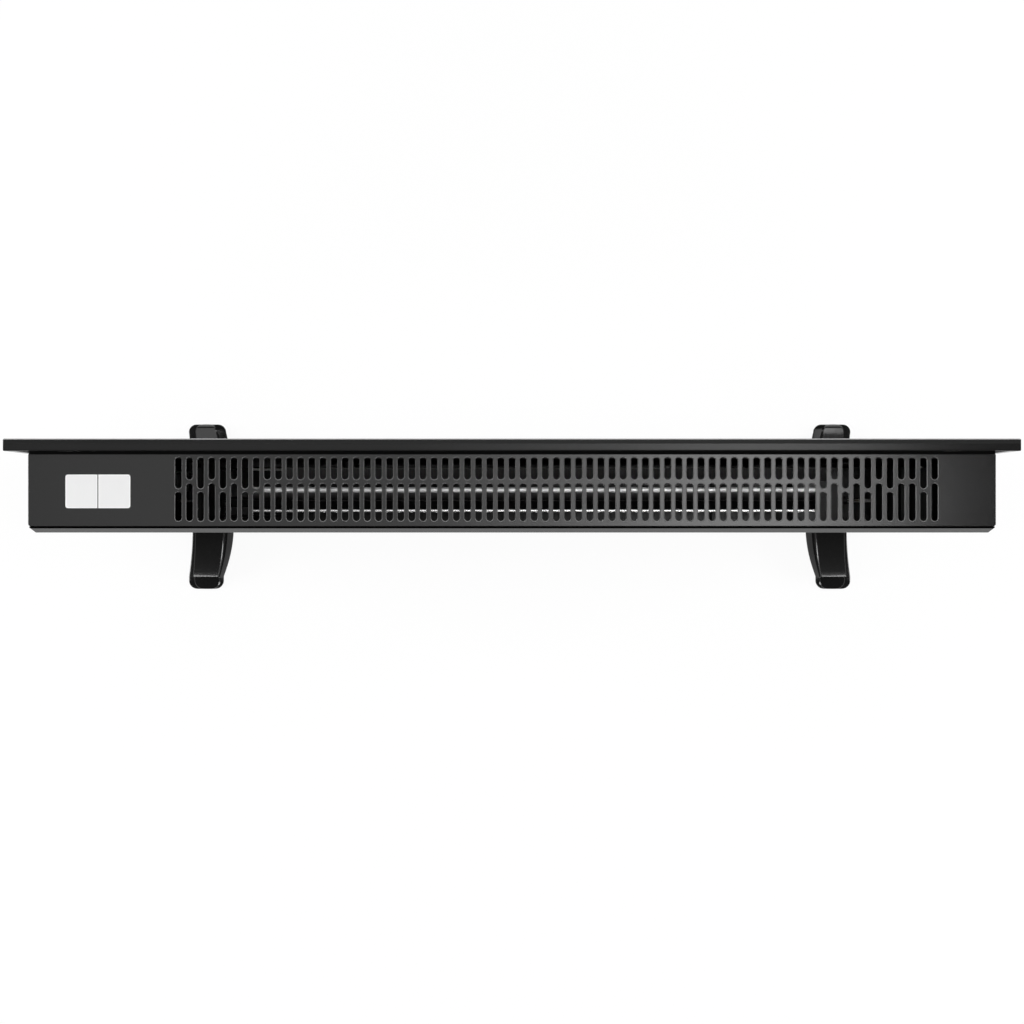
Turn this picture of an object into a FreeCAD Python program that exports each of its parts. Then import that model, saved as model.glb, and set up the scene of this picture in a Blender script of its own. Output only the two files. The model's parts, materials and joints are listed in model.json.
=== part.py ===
"""Free-standing glass panel heater, in millimetres.

The floor is z = 0, the glass faces -Y and the origin is the centre of the footprint.
Each section below makes the pieces of one sub-assembly and adds them to NODES.
"""
import FreeCAD, Part
import math
import os
from FreeCAD import Vector

# Feet and the height at which the body stands on them
FOOT_LENGTH = 161.0
FOOT_HEIGHT = 45.0
FOOT_INSET_SWITCH_SIDE = 93.6
FOOT_INSET_FAR_SIDE = 78.6
TOE_REACH = 26.5
TOE_HEIGHT = 14.0
TOE_BEVEL = 4.0
TAIL_HEIGHT = 21.5
TAIL_BEVEL = 12.5
TAIL_TIP_HEIGHT = 4.6
FOOT_EDGE = 1.8
TAIL_FACE = 1.3
INNER_LEDGE = 9.0
OUTER_LEDGE = 6.0
LEDGE_RIM = 4.5
LEDGE_STEP = 0.5
WALL_LEAN = 0.5
FOOT_STEP = 6.0
FOOT_PANEL_CLEARANCE = 4.0
PAD_RADIUS = 7.0
PAD_THICK = 3.0
PAD_STAND = 1.5
PAD_SETBACK = 14.5
FOOT_SCREW_RADIUS = 2.5
FOOT_SCREW_HEAD_RADIUS = 4.5
FOOT_SCREW_HEAD = 4.0
FOOT_SCREW_GRIP = 12.0
FOOT_SCREW_TAIL = 2.0
FOOT_SCREW_SPACING = 34.0
FOOT_NUT_RADIUS = 4.6
FOOT_NUT_HEIGHT = 4.0
# Width of a foot at toe, middle and tail: floor inner, floor outer, top inner, top outer
FOOT_TOE_EDGES = (-17.7, 18.5, -10.0, 10.9)
FOOT_MIDDLE_EDGES = (-25.3, 14.8, -20.2, 7.5)
FOOT_TAIL_EDGES = (-15.5, 18.3, -12.6, 12.6)

# Body shell and rear cover
BODY_WIDTH = 783.2
BODY_HEIGHT = 376.0
BODY_DEPTH = 58.3
BODY_EDGE = 0.5
BODY_REAR_CORNER = 2.4
SHELL_WALL = 2.5
FLANGE_WIDTH = 16.0
PLATE_THICK = 1.0
PLATE_CLEARANCE = 1.0
POST_SIZE = 18.0
POST_GAP = 0.5
POST_END_MARGIN = 30.0
POST_BOTTOM_SPACING = 200.0
SEAM = 1.3
SEAM_DEPTH = 0.9
COVER_DEPTH = 3.7
COVER_WALL = 2.0
COVER_INSET = 1.5
COVER_BEVEL = 3.0
COVER_BEVEL_TOP = 8.0
COVER_RIM = 10.0
COVER_EDGE = 0.2
LIP_WALL = 1.5
LIP_DEPTH = 4.0
LIP_CLEARANCE = 0.3
COVER_BOSS_RADIUS = 5.0
KEYHOLE_SPACING = 400.0
KEYHOLE_RISE = 285.0
KEYHOLE_ENTRY_RADIUS = 5.5
KEYHOLE_NECK_RADIUS = 2.75
KEYHOLE_TRAVEL = 10.0

# Glass panel on its tray frame
PANEL_OVERHANG_SIDE = 18.7
PANEL_OVERHANG_TOP = 9.0
PANEL_OVERHANG_BOTTOM = 8.0
PANEL_CORNER = 1.2
PANEL_GAP = 2.6
GLASS_THICK = 4.0
GLASS_ARRIS = 0.8
FRAME_DEPTH = 6.0
FRAME_WEB = 1.5
FRAME_EDGE = 1.0
FRAME_RIM = 8.0
FRAME_BOSS_RADIUS = 5.0
PANEL_SCREW_END_MARGIN = 60.0
PANEL_SCREW_MIDDLE_RISE = 150.0
PANEL_SCREW_BOTTOM_SPACING = 300.0
TAPE_THICK = 0.5
TAPE_WIDTH = 10.0
TAPE_INSET = 6.0
GASKET_INSET = 0.4
GASKET_WIDTH = 10.0

# Outlet grille in the top wall
SLOT_PITCH = 9.0
SLOT_WIDTH = 5.2
SLOT_RIM = 0.6
GRILLE_MARGIN_SWITCH_SIDE = 121.6
GRILLE_MARGIN_FAR_SIDE = 48.6
GRILLE_FRONT_MARGIN = 2.4
GRILLE_REAR_MARGIN = 4.4
HIGH_BRIDGE_START = 17.9
HIGH_BRIDGE = 3.2
LOW_BRIDGE_START = 25.2
LOW_BRIDGE = 2.8
LOW_COLUMNS_FROM_SWITCH_SIDE = (1, 3, 5, 7, 8)
LOW_COLUMNS_FROM_FAR_SIDE = (2, 5, 7, 9, 11)

# Intake slots in the bottom wall and low in the rear cover
INTAKE_PITCH = 12.0
INTAKE_WIDTH = 6.0
INTAKE_FRONT_MARGIN = 22.4
INTAKE_LENGTH = 21.0
INTAKE_FOOT_CLEARANCE = 30.0
REAR_INTAKE_HALF_SPAN = 240.0
REAR_INTAKE_PITCH = 14.0
REAR_INTAKE_WIDTH = 5.0
REAR_INTAKE_RISE = 30.0
REAR_INTAKE_LENGTH = 40.0

# Blank sticker on the top wall
LABEL_INSET = 30.3
LABEL_FRONT_MARGIN = 16.3
LABEL_WIDTH = 52.5
LABEL_DEPTH = 27.2
LABEL_THICK = 0.2
LABEL_CORNER = 2.0
LABEL_DIVIDER = 0.8

# Electronics bay at the switch side
BAY_WIDTH = 135.5
SHEET = 1.0
TAB_WIDTH = 12.0
PARTITION_FOOT = 4.5
PARTITION_HEADROOM = 14.5
PARTITION_FLANGE = 7.0
SHEET_REAR_GAP = 3.8

# Heating element and the sheet metal around it
BRACKET_MARGIN = 107.0
BRACKET_RISE = 105.0
BRACKET_HEIGHT = 120.0
TOP_FLANGE_START = 6.9
BRACKET_FLANGE = 17.5
ELEMENT_RISE = 175.0
ELEMENT_OFFSET = 5.4
ELEMENT_GAP_SWITCH_SIDE = 21.0
ELEMENT_GAP_FAR_SIDE = 16.0
ARM_REACH_Y = 9.2
ARM_REACH_Z = 30.0
ARM_THICK = 1.8
FRONT_TIP_WIDTH = 4.8
FRONT_TIP_CROWN = 9.0
REAR_TIP_WIDTH = 2.3
REAR_TIP_CROWN = 5.0
TIP_HEIGHT = 3.0
HUB_RADIUS = 5.0
CORE_RADIUS = 3.2
CORE_CLEARANCE = 0.05
CORE_STUB = 4.0
INSULATOR_RADIUS = 7.0
INSULATOR_FLANGE_RADIUS = 9.5
INSULATOR_FLANGE = 2.0
INSULATOR_NOSE = 9.0
FIT_CLEARANCE = 0.1
TERMINAL_LENGTH = 10.0
TERMINAL_WIDTH = 6.3
TERMINAL_THICK = 0.8
SHIELD_STAND = 15.9
SHIELD_SHEET = 0.8
SHIELD_LEAN = 9.0
SHIELD_LEAN_HEIGHT = 75.0
SHIELD_HEADROOM = 13.5
SHIELD_RISE = 65.0
SHIELD_END_GAP = 19.5
STANDOFF_RADIUS = 4.0
SHIELD_FIX_SPACING = 360.0
SHIELD_FIX_MARGIN = 25.0
SHIELD_FUSE_GAP = 10.0
TAB_SCREW_MARGIN = 40.0
BRACKET_SCREW_MARGIN = 20.0

# Display behind the glass
DISPLAY_RISE = 55.0
DISPLAY_WIDTH = 80.0
DISPLAY_HEIGHT = 30.0
DISPLAY_BOARD = 1.6
DISPLAY_STANDBACK = 3.1
DISPLAY_WINDOW_MARGIN = 1.0
HOLDER_WALL = 6.0
HOLDER_BACK = 1.5
MODULE_WIDTH = 36.0
MODULE_HEIGHT = 18.0
MODULE_MARGIN = 2.0
TOUCH_PAD_RADIUS = 4.0
TOUCH_PAD_PITCH = 12.0
TOUCH_PAD_MARGIN = 6.0
TOUCH_PAD_COUNT = 3
CABLE_WIDTH = 12.0
CABLE_THICK = 1.2
CABLE_HOLE_MARGIN = 1.0

# Main switch and cord gland, cut into the shell
SWITCH_RISE = 75.0
SWITCH_OFFSET = -1.5
SWITCH_LENGTH = 19.0
SWITCH_WIDTH = 13.0
SWITCH_DEPTH = 22.0
SWITCH_BEZEL = 1.6
SWITCH_BEZEL_OVERLAP = 1.0
GLAND_INSET = 46.0
GLAND_RADIUS = 8.0
GLAND_FLANGE_RADIUS = 11.0
GLAND_FLANGE = 6.0
GLAND_BORE_RADIUS = 4.0
GLAND_TAIL = 14.5
GLAND_NUT = 5.0

# Rocker of the main switch
ROCKER_TILT = 11.0
ROCKER_PIVOT_DEPTH = 3.0
ROCKER_PIVOT_RADIUS = 1.2
ROCKER_SIDE_CLEARANCE = 0.3
ROCKER_CAVITY = 10.0
ROCKER_CROWN = 3.0
ROCKER_HALF_LENGTH = 7.2
ROCKER_KEEL = 3.0
ROCKER_KEEL_HALF_LENGTH = 2.0
ROCKER_SHOULDER = 1.0
ROCKER_SHOULDER_HALF_LENGTH = 6.0
SWITCH_SIDE_WALL = 1.4
SWITCH_END_WALL = 1.1
PIVOT_SOCKET_WALL = 0.4
RUNNING_CLEARANCE = 0.05
SWITCH_TAB_LENGTH = 8.0
SWITCH_TAB_WIDTH = 4.8
SWITCH_TAB_SPACING = 10.0

# Power board
BOARD_INSET = 17.0
BOARD_WIDTH = 90.0
BOARD_RISE = 40.0
BOARD_HEIGHT = 215.0
BOARD_THICK = 1.6
BOARD_STAND = 8.0
BOARD_STANDOFF_RADIUS = 3.5
BOARD_HOLE_INSET = 5.0
RELAY_INSET = 10.0
RELAY_PITCH = 25.0
RELAY_WIDTH = 19.0
RELAY_HEIGHT = 15.5
RELAY_DEPTH = 15.5
BLOCK_INSET = 5.0
BLOCK_WIDTH = 40.0
BLOCK_RISE = 40.0
BLOCK_HEIGHT = 20.0
BLOCK_DEPTH = 12.0
TRANSFORMER_INSET = 50.0
TRANSFORMER_RISE = 95.0
TRANSFORMER_SIZE = 26.0
TRANSFORMER_DEPTH = 18.0
CAPACITOR_RADIUS = 5.0
CAPACITOR_LENGTH = 16.0
CAPACITOR_PITCH = 14.0
CAPACITOR_RISE = 145.0
CHIP_SIZE = 12.0
CHIP_DEPTH = 2.0

# Leads, thermal fuse and room sensor
LEAD_RADIUS = 1.4
LEAD_BEND = 6.0
LEAD_HOLE_CLEARANCE = 0.4
FUSE_LEAD_RADIUS = 1.0
FUSE_LEAD_BEND = 4.0
FUSE_LEAD_STAND = 6.0
FUSE_LEAD_TURN = 9.0
FUSE_RETURN_REACH = 5.5
FUSE_REACH = 55.4
FUSE_RISE = 50.0
FUSE_OFFSET = 3.1
FUSE_LENGTH = 10.0
FUSE_RADIUS = 3.0
FUSE_SEAT_GAP = 0.2
FUSE_STRIP_WIDTH = 6.0
FUSE_STRIP_END = 4.0
FAR_LEAD_TURN = 14.0
RETURN_LEAD_INSET = 10.0
ELEMENT_LEAD_INSET = 22.0
SWITCH_LEAD_RUN = 23.0
SWITCH_LEAD_SLANT = 8.0
SENSOR_INSET = 64.0
SENSOR_SIZE = 8.0
SENSOR_SEAT = 6.0
SENSOR_RADIUS = 2.5

# Tip-over switch on the partition
TILT_RISE = 50.0
TILT_BASE = 2.0
TILT_BASE_HALF_WIDTH = 18.0
TILT_BASE_ABOVE = 14.0
TILT_BASE_BELOW = 27.0
TILT_PIN_RADIUS = 1.5
TILT_HUB_RADIUS = 3.5
TILT_ARM_WIDTH = 3.0
TILT_LENGTH = 20.0
TILT_BOB_RADIUS = 5.0
TILT_BOB_WIDTH = 6.0
TILT_BOB_GAP = 1.5
TILT_STOP_RADIUS = 1.5
TILT_RANGE = 25.0
TILT_STOP_GAP = 0.3
TILT_CLIP_RADIUS = 2.8
TILT_CLIP = 1.0
TILT_CLIP_GAP = 0.5
TILT_PIN_END = 1.0
TILT_SWITCH_HALF_WIDTH = 8.0
TILT_SWITCH_HEIGHT = 7.0
TILT_SWITCH_DEPTH = 8.0
TILT_PLUNGER_RADIUS = 1.0
TILT_PLUNGER = 1.0
TILT_PLUNGER_GAP = 0.5
TILT_SCREW_OFFSET = 13.0
TILT_SCREW_RISE = 10.0
TILT_SCREW_SHANK = 4.0

# Screws
SCREW_RADIUS = 1.5
SCREW_HEAD_RADIUS = 2.8
SCREW_HEAD = 1.8
SCREW_CLEARANCE = 0.1
SCREW_BITE = 8.0
RECESS_DEPTH = 0.9
RECESS_WIDTH = 0.8

# Cutters reach this far past the face they open
OVERCUT = 1.0

# Places worked out from the sizes above
half_body = BODY_WIDTH / 2
body_bottom = FOOT_HEIGHT
body_top = body_bottom + BODY_HEIGHT
inside_x = half_body - SHELL_WALL
inside_bottom = body_bottom + SHELL_WALL
inside_top = body_top - SHELL_WALL
half_panel = half_body + PANEL_OVERHANG_SIDE
panel_bottom = body_bottom - PANEL_OVERHANG_BOTTOM
panel_top = body_top + PANEL_OVERHANG_TOP
glass_front = TOE_REACH - FOOT_LENGTH / 2
glass_back = glass_front + GLASS_THICK
web_back = glass_back + FRAME_WEB
frame_back = glass_back + FRAME_DEPTH
shell_front = frame_back + PANEL_GAP
flange_back = shell_front + SHELL_WALL
plate_back = flange_back + PLATE_THICK
shell_back = shell_front + BODY_DEPTH
cover_front = shell_back + SEAM
cover_back = cover_front + COVER_DEPTH
cover_inside = cover_back - COVER_WALL
bay_x = inside_x - BAY_WIDTH
partition_x = bay_x - SHEET
bay_middle = bay_x + BAY_WIDTH / 2
bracket_x = BRACKET_MARGIN - half_body
element_y = (plate_back + shell_back) / 2 + ELEMENT_OFFSET
element_z = body_bottom + ELEMENT_RISE
sheet_back = shell_back - SHEET_REAR_GAP
flange_middle = FLANGE_WIDTH / 2
screw_hole = SCREW_RADIUS + SCREW_CLEARANCE

NODES = {}


def box(x0, x1, y0, y1, z0, z1):
    """Block between two corners."""
    return Part.makeBox(x1 - x0, y1 - y0, z1 - z0, Vector(x0, y0, z0))


def bar_x(radius, x0, x1, y, z):
    """Round bar along X, its ends given in either order."""
    return Part.makeCylinder(radius, abs(x1 - x0), Vector(min(x0, x1), y, z), Vector(1, 0, 0))


def bar_y(radius, x, y0, y1, z):
    """Round bar along Y."""
    return Part.makeCylinder(radius, y1 - y0, Vector(x, y0, z), Vector(0, 1, 0))


def bar_z(radius, x, y, z0, z1):
    """Round bar along Z."""
    return Part.makeCylinder(radius, z1 - z0, Vector(x, y, z0), Vector(0, 0, 1))


def spacer(radius, x, y0, y1, z):
    """Round stand-off along Y with a screw hole through it."""
    return bar_y(radius, x, y0, y1, z).cut(bar_y(screw_hole, x, y0, y1, z))


def group(shapes):
    """Separate solids kept together in one node."""
    return Part.makeCompound(shapes)


def join(first, *others):
    """One solid from several that meet."""
    return first.fuse(list(others)).removeSplitter()


def prism(points, travel):
    """Flat outline pushed along a vector."""
    corners = [Vector(*point) for point in points]
    return Part.Face(Part.makePolygon(corners + corners[:1])).extrude(Vector(*travel))


def edges_on_y(shape, y):
    """Edges of a shape that lie in the plane at one y."""
    return [edge for edge in shape.Edges if max(abs(v.Point.y - y) for v in edge.Vertexes) < 1e-6]


def edges_along(shape, axis, y=None):
    """Straight edges of a shape that run along one axis, all of them or those at one y."""
    edges = shape.Edges if y is None else edges_on_y(shape, y)
    found = []
    for edge in edges:
        if edge.Curve.TypeId == "Part::GeomLine" and abs(edge.Curve.Direction.dot(axis)) > 0.999:
            found.append(edge)
    return found


def panel_plate(y0, y1):
    """Upright plate over the panel's outline, its four corners rounded."""
    plate = box(-half_panel, half_panel, y0, y1, panel_bottom, panel_top)
    return plate.makeFillet(PANEL_CORNER, edges_along(plate, Vector(0, 1, 0)))


def slot_bar(width, length, height):
    """Round-ended bar along Y, from y = 0 and z = 0, centred on x = 0."""
    radius = width / 2
    bar = box(-radius, radius, radius, length - radius, 0, height)
    for y in (radius, length - radius):
        bar = bar.fuse(bar_z(radius, 0, y, 0, height))
    return bar.removeSplitter()


def moved(shape, x, y, z):
    """Copy of a shape, shifted."""
    copy = shape.copy()
    copy.translate(Vector(x, y, z))
    return copy


def mirrored_x(shape):
    """Copy of a shape, mirrored across x = 0."""
    return shape.mirror(Vector(0, 0, 0), Vector(1, 0, 0))


def pan_screw(seat, direction, shank, radius=SCREW_RADIUS, head_radius=SCREW_HEAD_RADIUS, head=SCREW_HEAD):
    """Cross-recessed screw; its head sits on the seat and its shank runs along the direction."""
    way = Vector(*direction)
    top = Vector(*seat) - way * head
    screw = Part.makeCylinder(head_radius, head, top, way)
    screw = screw.fuse(Part.makeCylinder(radius, head + shank, top, way))
    across = Vector(0, 0, 1) if abs(way.z) < 0.5 else Vector(1, 0, 0)
    for side in (across, way.cross(across)):
        other = way.cross(side)
        corner = top - side * radius - other * RECESS_WIDTH / 2 - way * OVERCUT
        points = [corner, corner + side * 2 * radius]
        points += [points[1] + other * RECESS_WIDTH, corner + other * RECESS_WIDTH]
        screw = screw.cut(prism([tuple(point) for point in points], tuple(way * (OVERCUT + RECESS_DEPTH))))
    return screw.removeSplitter()


def bent_wire(points, bend, radius):
    """Round lead along straight runs joined by tangent arcs."""
    corners = [Vector(*point) for point in points]
    edges = []
    start = corners[0]
    for before, corner, after in zip(corners, corners[1:], corners[2:]):
        back = (before - corner).normalize()
        ahead = (after - corner).normalize()
        half_turn = (math.pi - back.getAngle(ahead)) / 2
        setback = bend * math.tan(half_turn)
        middle = (back + ahead).normalize() * (bend / math.cos(half_turn) - bend)
        arc = Part.Arc(corner + back * setback, corner + middle, corner + ahead * setback)
        edges.append(Part.LineSegment(start, corner + back * setback).toShape())
        edges.append(arc.toShape())
        start = corner + ahead * setback
    edges.append(Part.LineSegment(start, corners[-1]).toShape())
    ring = Part.Wire(Part.makeCircle(radius, corners[0], corners[1] - corners[0]))
    return Part.Wire(edges).makePipeShell([ring], True, True)


def rectangle_ring(x, z0, z1, width, y0, y1):
    """Upright rectangular ring, x wide each side of the middle."""
    outside = box(-x, x, y0, y1, z0, z1)
    return outside.cut(box(width - x, x - width, y0, y1, z0 + width, z1 - width))


# Fixing places on the flange and on the rear posts
side_screw_rises = (PANEL_SCREW_END_MARGIN, PANEL_SCREW_MIDDLE_RISE, BODY_HEIGHT - PANEL_SCREW_END_MARGIN)
panel_screw_places = [
    (side * (half_body - flange_middle), body_bottom + rise) for side in (-1, 1) for rise in side_screw_rises
]
panel_screw_places += [
    (side * PANEL_SCREW_BOTTOM_SPACING / 2, body_bottom + flange_middle) for side in (-1, 1)
]
side_post_rises = (POST_END_MARGIN, BODY_HEIGHT / 2, BODY_HEIGHT - POST_END_MARGIN)
post_places = [
    (side * (inside_x - POST_SIZE / 2), body_bottom + rise) for side in (-1, 1) for rise in side_post_rises
]
post_places += [(step * POST_BOTTOM_SPACING, inside_bottom + POST_SIZE / 2) for step in (-1, 0, 1)]


# Places of the switch, the gland and the feet
switch_y = (plate_back + shell_back) / 2 + SWITCH_OFFSET
switch_z = body_bottom + SWITCH_RISE
gland_x = half_body - GLAND_INSET
foot_x_switch_side = half_body - FOOT_INSET_SWITCH_SIDE
foot_x_far_side = FOOT_INSET_FAR_SIDE - half_body
foot_top_middle = (FOOT_MIDDLE_EDGES[2] + FOOT_MIDDLE_EDGES[3]) / 2
saddle_front = frame_back + FOOT_STEP
saddle_back = cover_front
saddle_middle = (saddle_front + saddle_back) / 2
foot_screw_places = []
for foot_x, side in ((foot_x_switch_side, 1), (foot_x_far_side, -1)):
    for step in (-0.5, 0.5):
        foot_screw_places.append((foot_x + side * foot_top_middle, saddle_middle + step * FOOT_SCREW_SPACING))


def glass_panel():
    """Tempered sheet with rounded corners and a bevelled front edge."""
    glass = panel_plate(glass_front, glass_back)
    return glass.makeChamfer(GLASS_ARRIS, edges_on_y(glass, glass_front))


def tape_ring(y0, y1):
    """Rectangular run of bonding tape, set in from the panel's edge."""
    x = half_panel - TAPE_INSET
    return rectangle_ring(x, panel_bottom + TAPE_INSET, panel_top - TAPE_INSET, TAPE_WIDTH, y0, y1)


# Places of the display behind the glass
display_z = body_bottom + DISPLAY_RISE
display_front = glass_back + DISPLAY_STANDBACK
display_back = display_front + DISPLAY_BOARD


def display_block(margin, y0, y1):
    """Block over the display board's outline, widened by a margin."""
    half_w = DISPLAY_WIDTH / 2 + margin
    half_h = DISPLAY_HEIGHT / 2 + margin
    return box(bay_middle - half_w, bay_middle + half_w, y0, y1, display_z - half_h, display_z + half_h)


def cable_block(margin, y0, y1):
    """Block over the display cable's section, widened by a margin."""
    half_w = CABLE_WIDTH / 2 + margin
    half_t = CABLE_THICK / 2 + margin
    return box(bay_middle - half_w, bay_middle + half_w, y0, y1, display_z - half_t, display_z + half_t)


def panel_frame():
    """Tray with a rim, a tape groove in front and screw bosses that reach the body."""
    frame = panel_plate(glass_back, frame_back)
    frame = frame.makeFillet(FRAME_EDGE, edges_on_y(frame, frame_back))
    x = half_panel - FRAME_RIM
    frame = frame.cut(box(-x, x, web_back, frame_back, panel_bottom + FRAME_RIM, panel_top - FRAME_RIM))
    frame = frame.cut(tape_ring(glass_back, glass_back + TAPE_THICK))
    frame = frame.cut(display_block(DISPLAY_WINDOW_MARGIN, glass_back, web_back))
    bosses = [bar_y(FRAME_BOSS_RADIUS, x, web_back, shell_front, z) for x, z in panel_screw_places]
    frame = join(frame, *bosses)
    holes = [bar_y(screw_hole, x, web_back, shell_front, z) for x, z in panel_screw_places]
    return frame.cut(group(holes))


def panel_gasket():
    """Foam seal that closes the gap between panel and body, with room for the bosses."""
    x = half_body - GASKET_INSET
    low = body_bottom + GASKET_INSET
    ring = rectangle_ring(x, low, body_top - GASKET_INSET, GASKET_WIDTH, frame_back, shell_front)
    room = FRAME_BOSS_RADIUS + FIT_CLEARANCE
    return ring.cut([bar_y(room, x, frame_back, shell_front, z) for x, z in panel_screw_places])


NODES["glass_panel"] = glass_panel()
NODES["glass_tape"] = tape_ring(glass_back, glass_back + TAPE_THICK)
NODES["panel_frame"] = panel_frame()
NODES["panel_gasket"] = panel_gasket()
panel_shank = plate_back - web_back - SCREW_CLEARANCE
NODES["panel_screws"] = group(
    [pan_screw((x, plate_back, z), (0, -1, 0), panel_shank) for x, z in panel_screw_places]
)

holder = display_block(HOLDER_WALL, web_back, display_back + HOLDER_BACK)
holder = holder.cut(display_block(FIT_CLEARANCE, web_back, display_back))
NODES["display_holder"] = holder.cut(cable_block(CABLE_HOLE_MARGIN, display_back, display_back + HOLDER_BACK))
NODES["display_board"] = display_block(0, display_front, display_back)
module_x = bay_middle + DISPLAY_WIDTH / 2 - MODULE_MARGIN
NODES["display_module"] = box(
    module_x - MODULE_WIDTH, module_x, glass_back, display_front,
    display_z - MODULE_HEIGHT / 2, display_z + MODULE_HEIGHT / 2,
)
touch_pads = []
for step in range(TOUCH_PAD_COUNT):
    pad_x = bay_middle - DISPLAY_WIDTH / 2 + TOUCH_PAD_MARGIN + step * TOUCH_PAD_PITCH
    touch_pads.append(bar_y(TOUCH_PAD_RADIUS, pad_x, glass_back, display_front, display_z))
NODES["touch_pads"] = group(touch_pads)


def grille_cutter(length):
    """Round-ended slot through the top wall, opening wider at its rim."""
    height = SHELL_WALL + 2 * OVERCUT
    radius = SLOT_WIDTH / 2
    wide = radius + SLOT_RIM + OVERCUT
    rim = SLOT_RIM + OVERCUT
    cutter = slot_bar(SLOT_WIDTH, length, height)
    rim_bottom = height - rim
    ends = (radius, length - radius)
    for y in ends:
        cutter = cutter.fuse(Part.makeCone(radius, wide, rim, Vector(0, y, rim_bottom), Vector(0, 0, 1)))
    outline = [(-radius, rim_bottom), (radius, rim_bottom), (wide, height), (-wide, height)]
    section = [(x, ends[0], z) for x, z in outline]
    cutter = cutter.fuse(prism(section, (0, ends[1] - ends[0], 0)))
    return cutter.removeSplitter()


def grille_cutters():
    """All the outlet slots: two to a column, split by a bridge that lies high or low."""
    grille_length = BODY_DEPTH - GRILLE_FRONT_MARGIN - GRILLE_REAR_MARGIN
    front = shell_front + GRILLE_FRONT_MARGIN
    bottom = inside_top - OVERCUT
    bridges = {False: (HIGH_BRIDGE_START, HIGH_BRIDGE), True: (LOW_BRIDGE_START, LOW_BRIDGE)}
    pairs = {}
    for low, (start, width) in bridges.items():
        rear_start = start + width
        pairs[low] = (grille_cutter(start), rear_start, grille_cutter(grille_length - rear_start))
    span = BODY_WIDTH - GRILLE_MARGIN_SWITCH_SIDE - GRILLE_MARGIN_FAR_SIDE
    count = int(span / SLOT_PITCH) + 1
    cutters = []
    for column in range(1, count + 1):
        x = half_body - GRILLE_MARGIN_SWITCH_SIDE - (column - 1) * SLOT_PITCH
        low = column in LOW_COLUMNS_FROM_SWITCH_SIDE or count + 1 - column in LOW_COLUMNS_FROM_FAR_SIDE
        front_slot, rear_start, rear_slot = pairs[low]
        cutters.append(moved(front_slot, x, front, bottom))
        cutters.append(moved(rear_slot, x, front + rear_start, bottom))
    return cutters


def intake_cutters():
    """Slots in the bottom wall, left out around the feet, the posts and the bay."""
    cutter = slot_bar(INTAKE_WIDTH, INTAKE_LENGTH, SHELL_WALL + 2 * OVERCUT)
    cutters = []
    x = partition_x - INTAKE_PITCH
    while x > GRILLE_MARGIN_FAR_SIDE - half_body:
        post_distance = min(abs(x - post_x) for post_x, post_z in post_places)
        if abs(x - foot_x_far_side) > INTAKE_FOOT_CLEARANCE and post_distance > POST_SIZE:
            cutters.append(moved(cutter, x, plate_back + INTAKE_FRONT_MARGIN, body_bottom - OVERCUT))
        x -= INTAKE_PITCH
    return cutters


def body_shell():
    """Moulded tray: four walls, an inward front flange, rear screw posts and the grilles."""
    shell = box(-half_body, half_body, shell_front, shell_back, body_bottom, body_top)
    rear_corners = edges_along(shell, Vector(0, 0, 1), shell_back)
    shell = shell.makeFillet(BODY_REAR_CORNER, rear_corners)
    shell = shell.makeFillet(BODY_EDGE, edges_along(shell, Vector(0, 1, 0)))
    shell = shell.cut(box(-inside_x, inside_x, flange_back, shell_back, inside_bottom, inside_top))
    x = half_body - FLANGE_WIDTH
    window = box(-x, x, shell_front, flange_back, body_bottom + FLANGE_WIDTH, body_top - FLANGE_WIDTH)
    shell = shell.cut(window)
    posts = []
    for x, z in post_places:
        half = POST_SIZE / 2
        post = box(x - half, x + half, plate_back + POST_GAP, shell_back, z - half, z + half)
        posts.append(post.cut(bar_y(screw_hole, x, shell_back - SCREW_BITE - OVERCUT, shell_back, z)))
    shell = join(shell, *posts)
    cutters = grille_cutters() + intake_cutters()
    for x, z in panel_screw_places:
        cutters.append(bar_y(screw_hole, x, shell_front, flange_back, z))
    half_l = SWITCH_LENGTH / 2 + FIT_CLEARANCE
    half_w = SWITCH_WIDTH / 2 + FIT_CLEARANCE
    cutters.append(
        box(inside_x, half_body, switch_y - half_w, switch_y + half_w, switch_z - half_l, switch_z + half_l)
    )
    gland_hole = GLAND_RADIUS + FIT_CLEARANCE
    cutters.append(bar_z(gland_hole, gland_x, switch_y, body_bottom, inside_bottom))
    for x, y in foot_screw_places:
        foot_hole = FOOT_SCREW_RADIUS + SCREW_CLEARANCE
        cutters.append(bar_z(foot_hole, x, y, body_bottom, inside_bottom))
    return shell.cut(cutters)


NODES["body_shell"] = body_shell()


# Sheet metal: front plate, partition, end bracket, heat shield
partition_low = inside_bottom + PARTITION_FOOT
partition_high = inside_top - PARTITION_HEADROOM
bracket_low = body_bottom + BRACKET_RISE
bracket_high = bracket_low + BRACKET_HEIGHT
bracket_back_x = bracket_x - SHEET
flange_front = plate_back + TOP_FLANGE_START
fuse_x = partition_x - FUSE_REACH
fuse_z = element_z + FUSE_RISE
fuse_middle = element_y + FUSE_OFFSET
fuse_front = fuse_middle - FUSE_LENGTH / 2
fuse_back = fuse_middle + FUSE_LENGTH / 2
fuse_lead_y = plate_back + FUSE_LEAD_STAND
fuse_return_y = fuse_back + FUSE_RETURN_REACH
board_front = plate_back + BOARD_STAND
board_back = board_front + BOARD_THICK
board_x = bay_x + BOARD_INSET
board_low = body_bottom + BOARD_RISE
board_high = board_low + BOARD_HEIGHT
block_x = board_x + BLOCK_INSET
block_low = board_low + BLOCK_RISE
block_back = board_back + BLOCK_DEPTH
lead_z = block_low + BLOCK_HEIGHT / 2
tilt_z = body_bottom + TILT_RISE
tilt_base_x = bay_x + TILT_BASE
shield_front = plate_back + SHIELD_STAND
shield_low = body_bottom + SHIELD_RISE
shield_high = inside_top - SHIELD_HEADROOM
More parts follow.
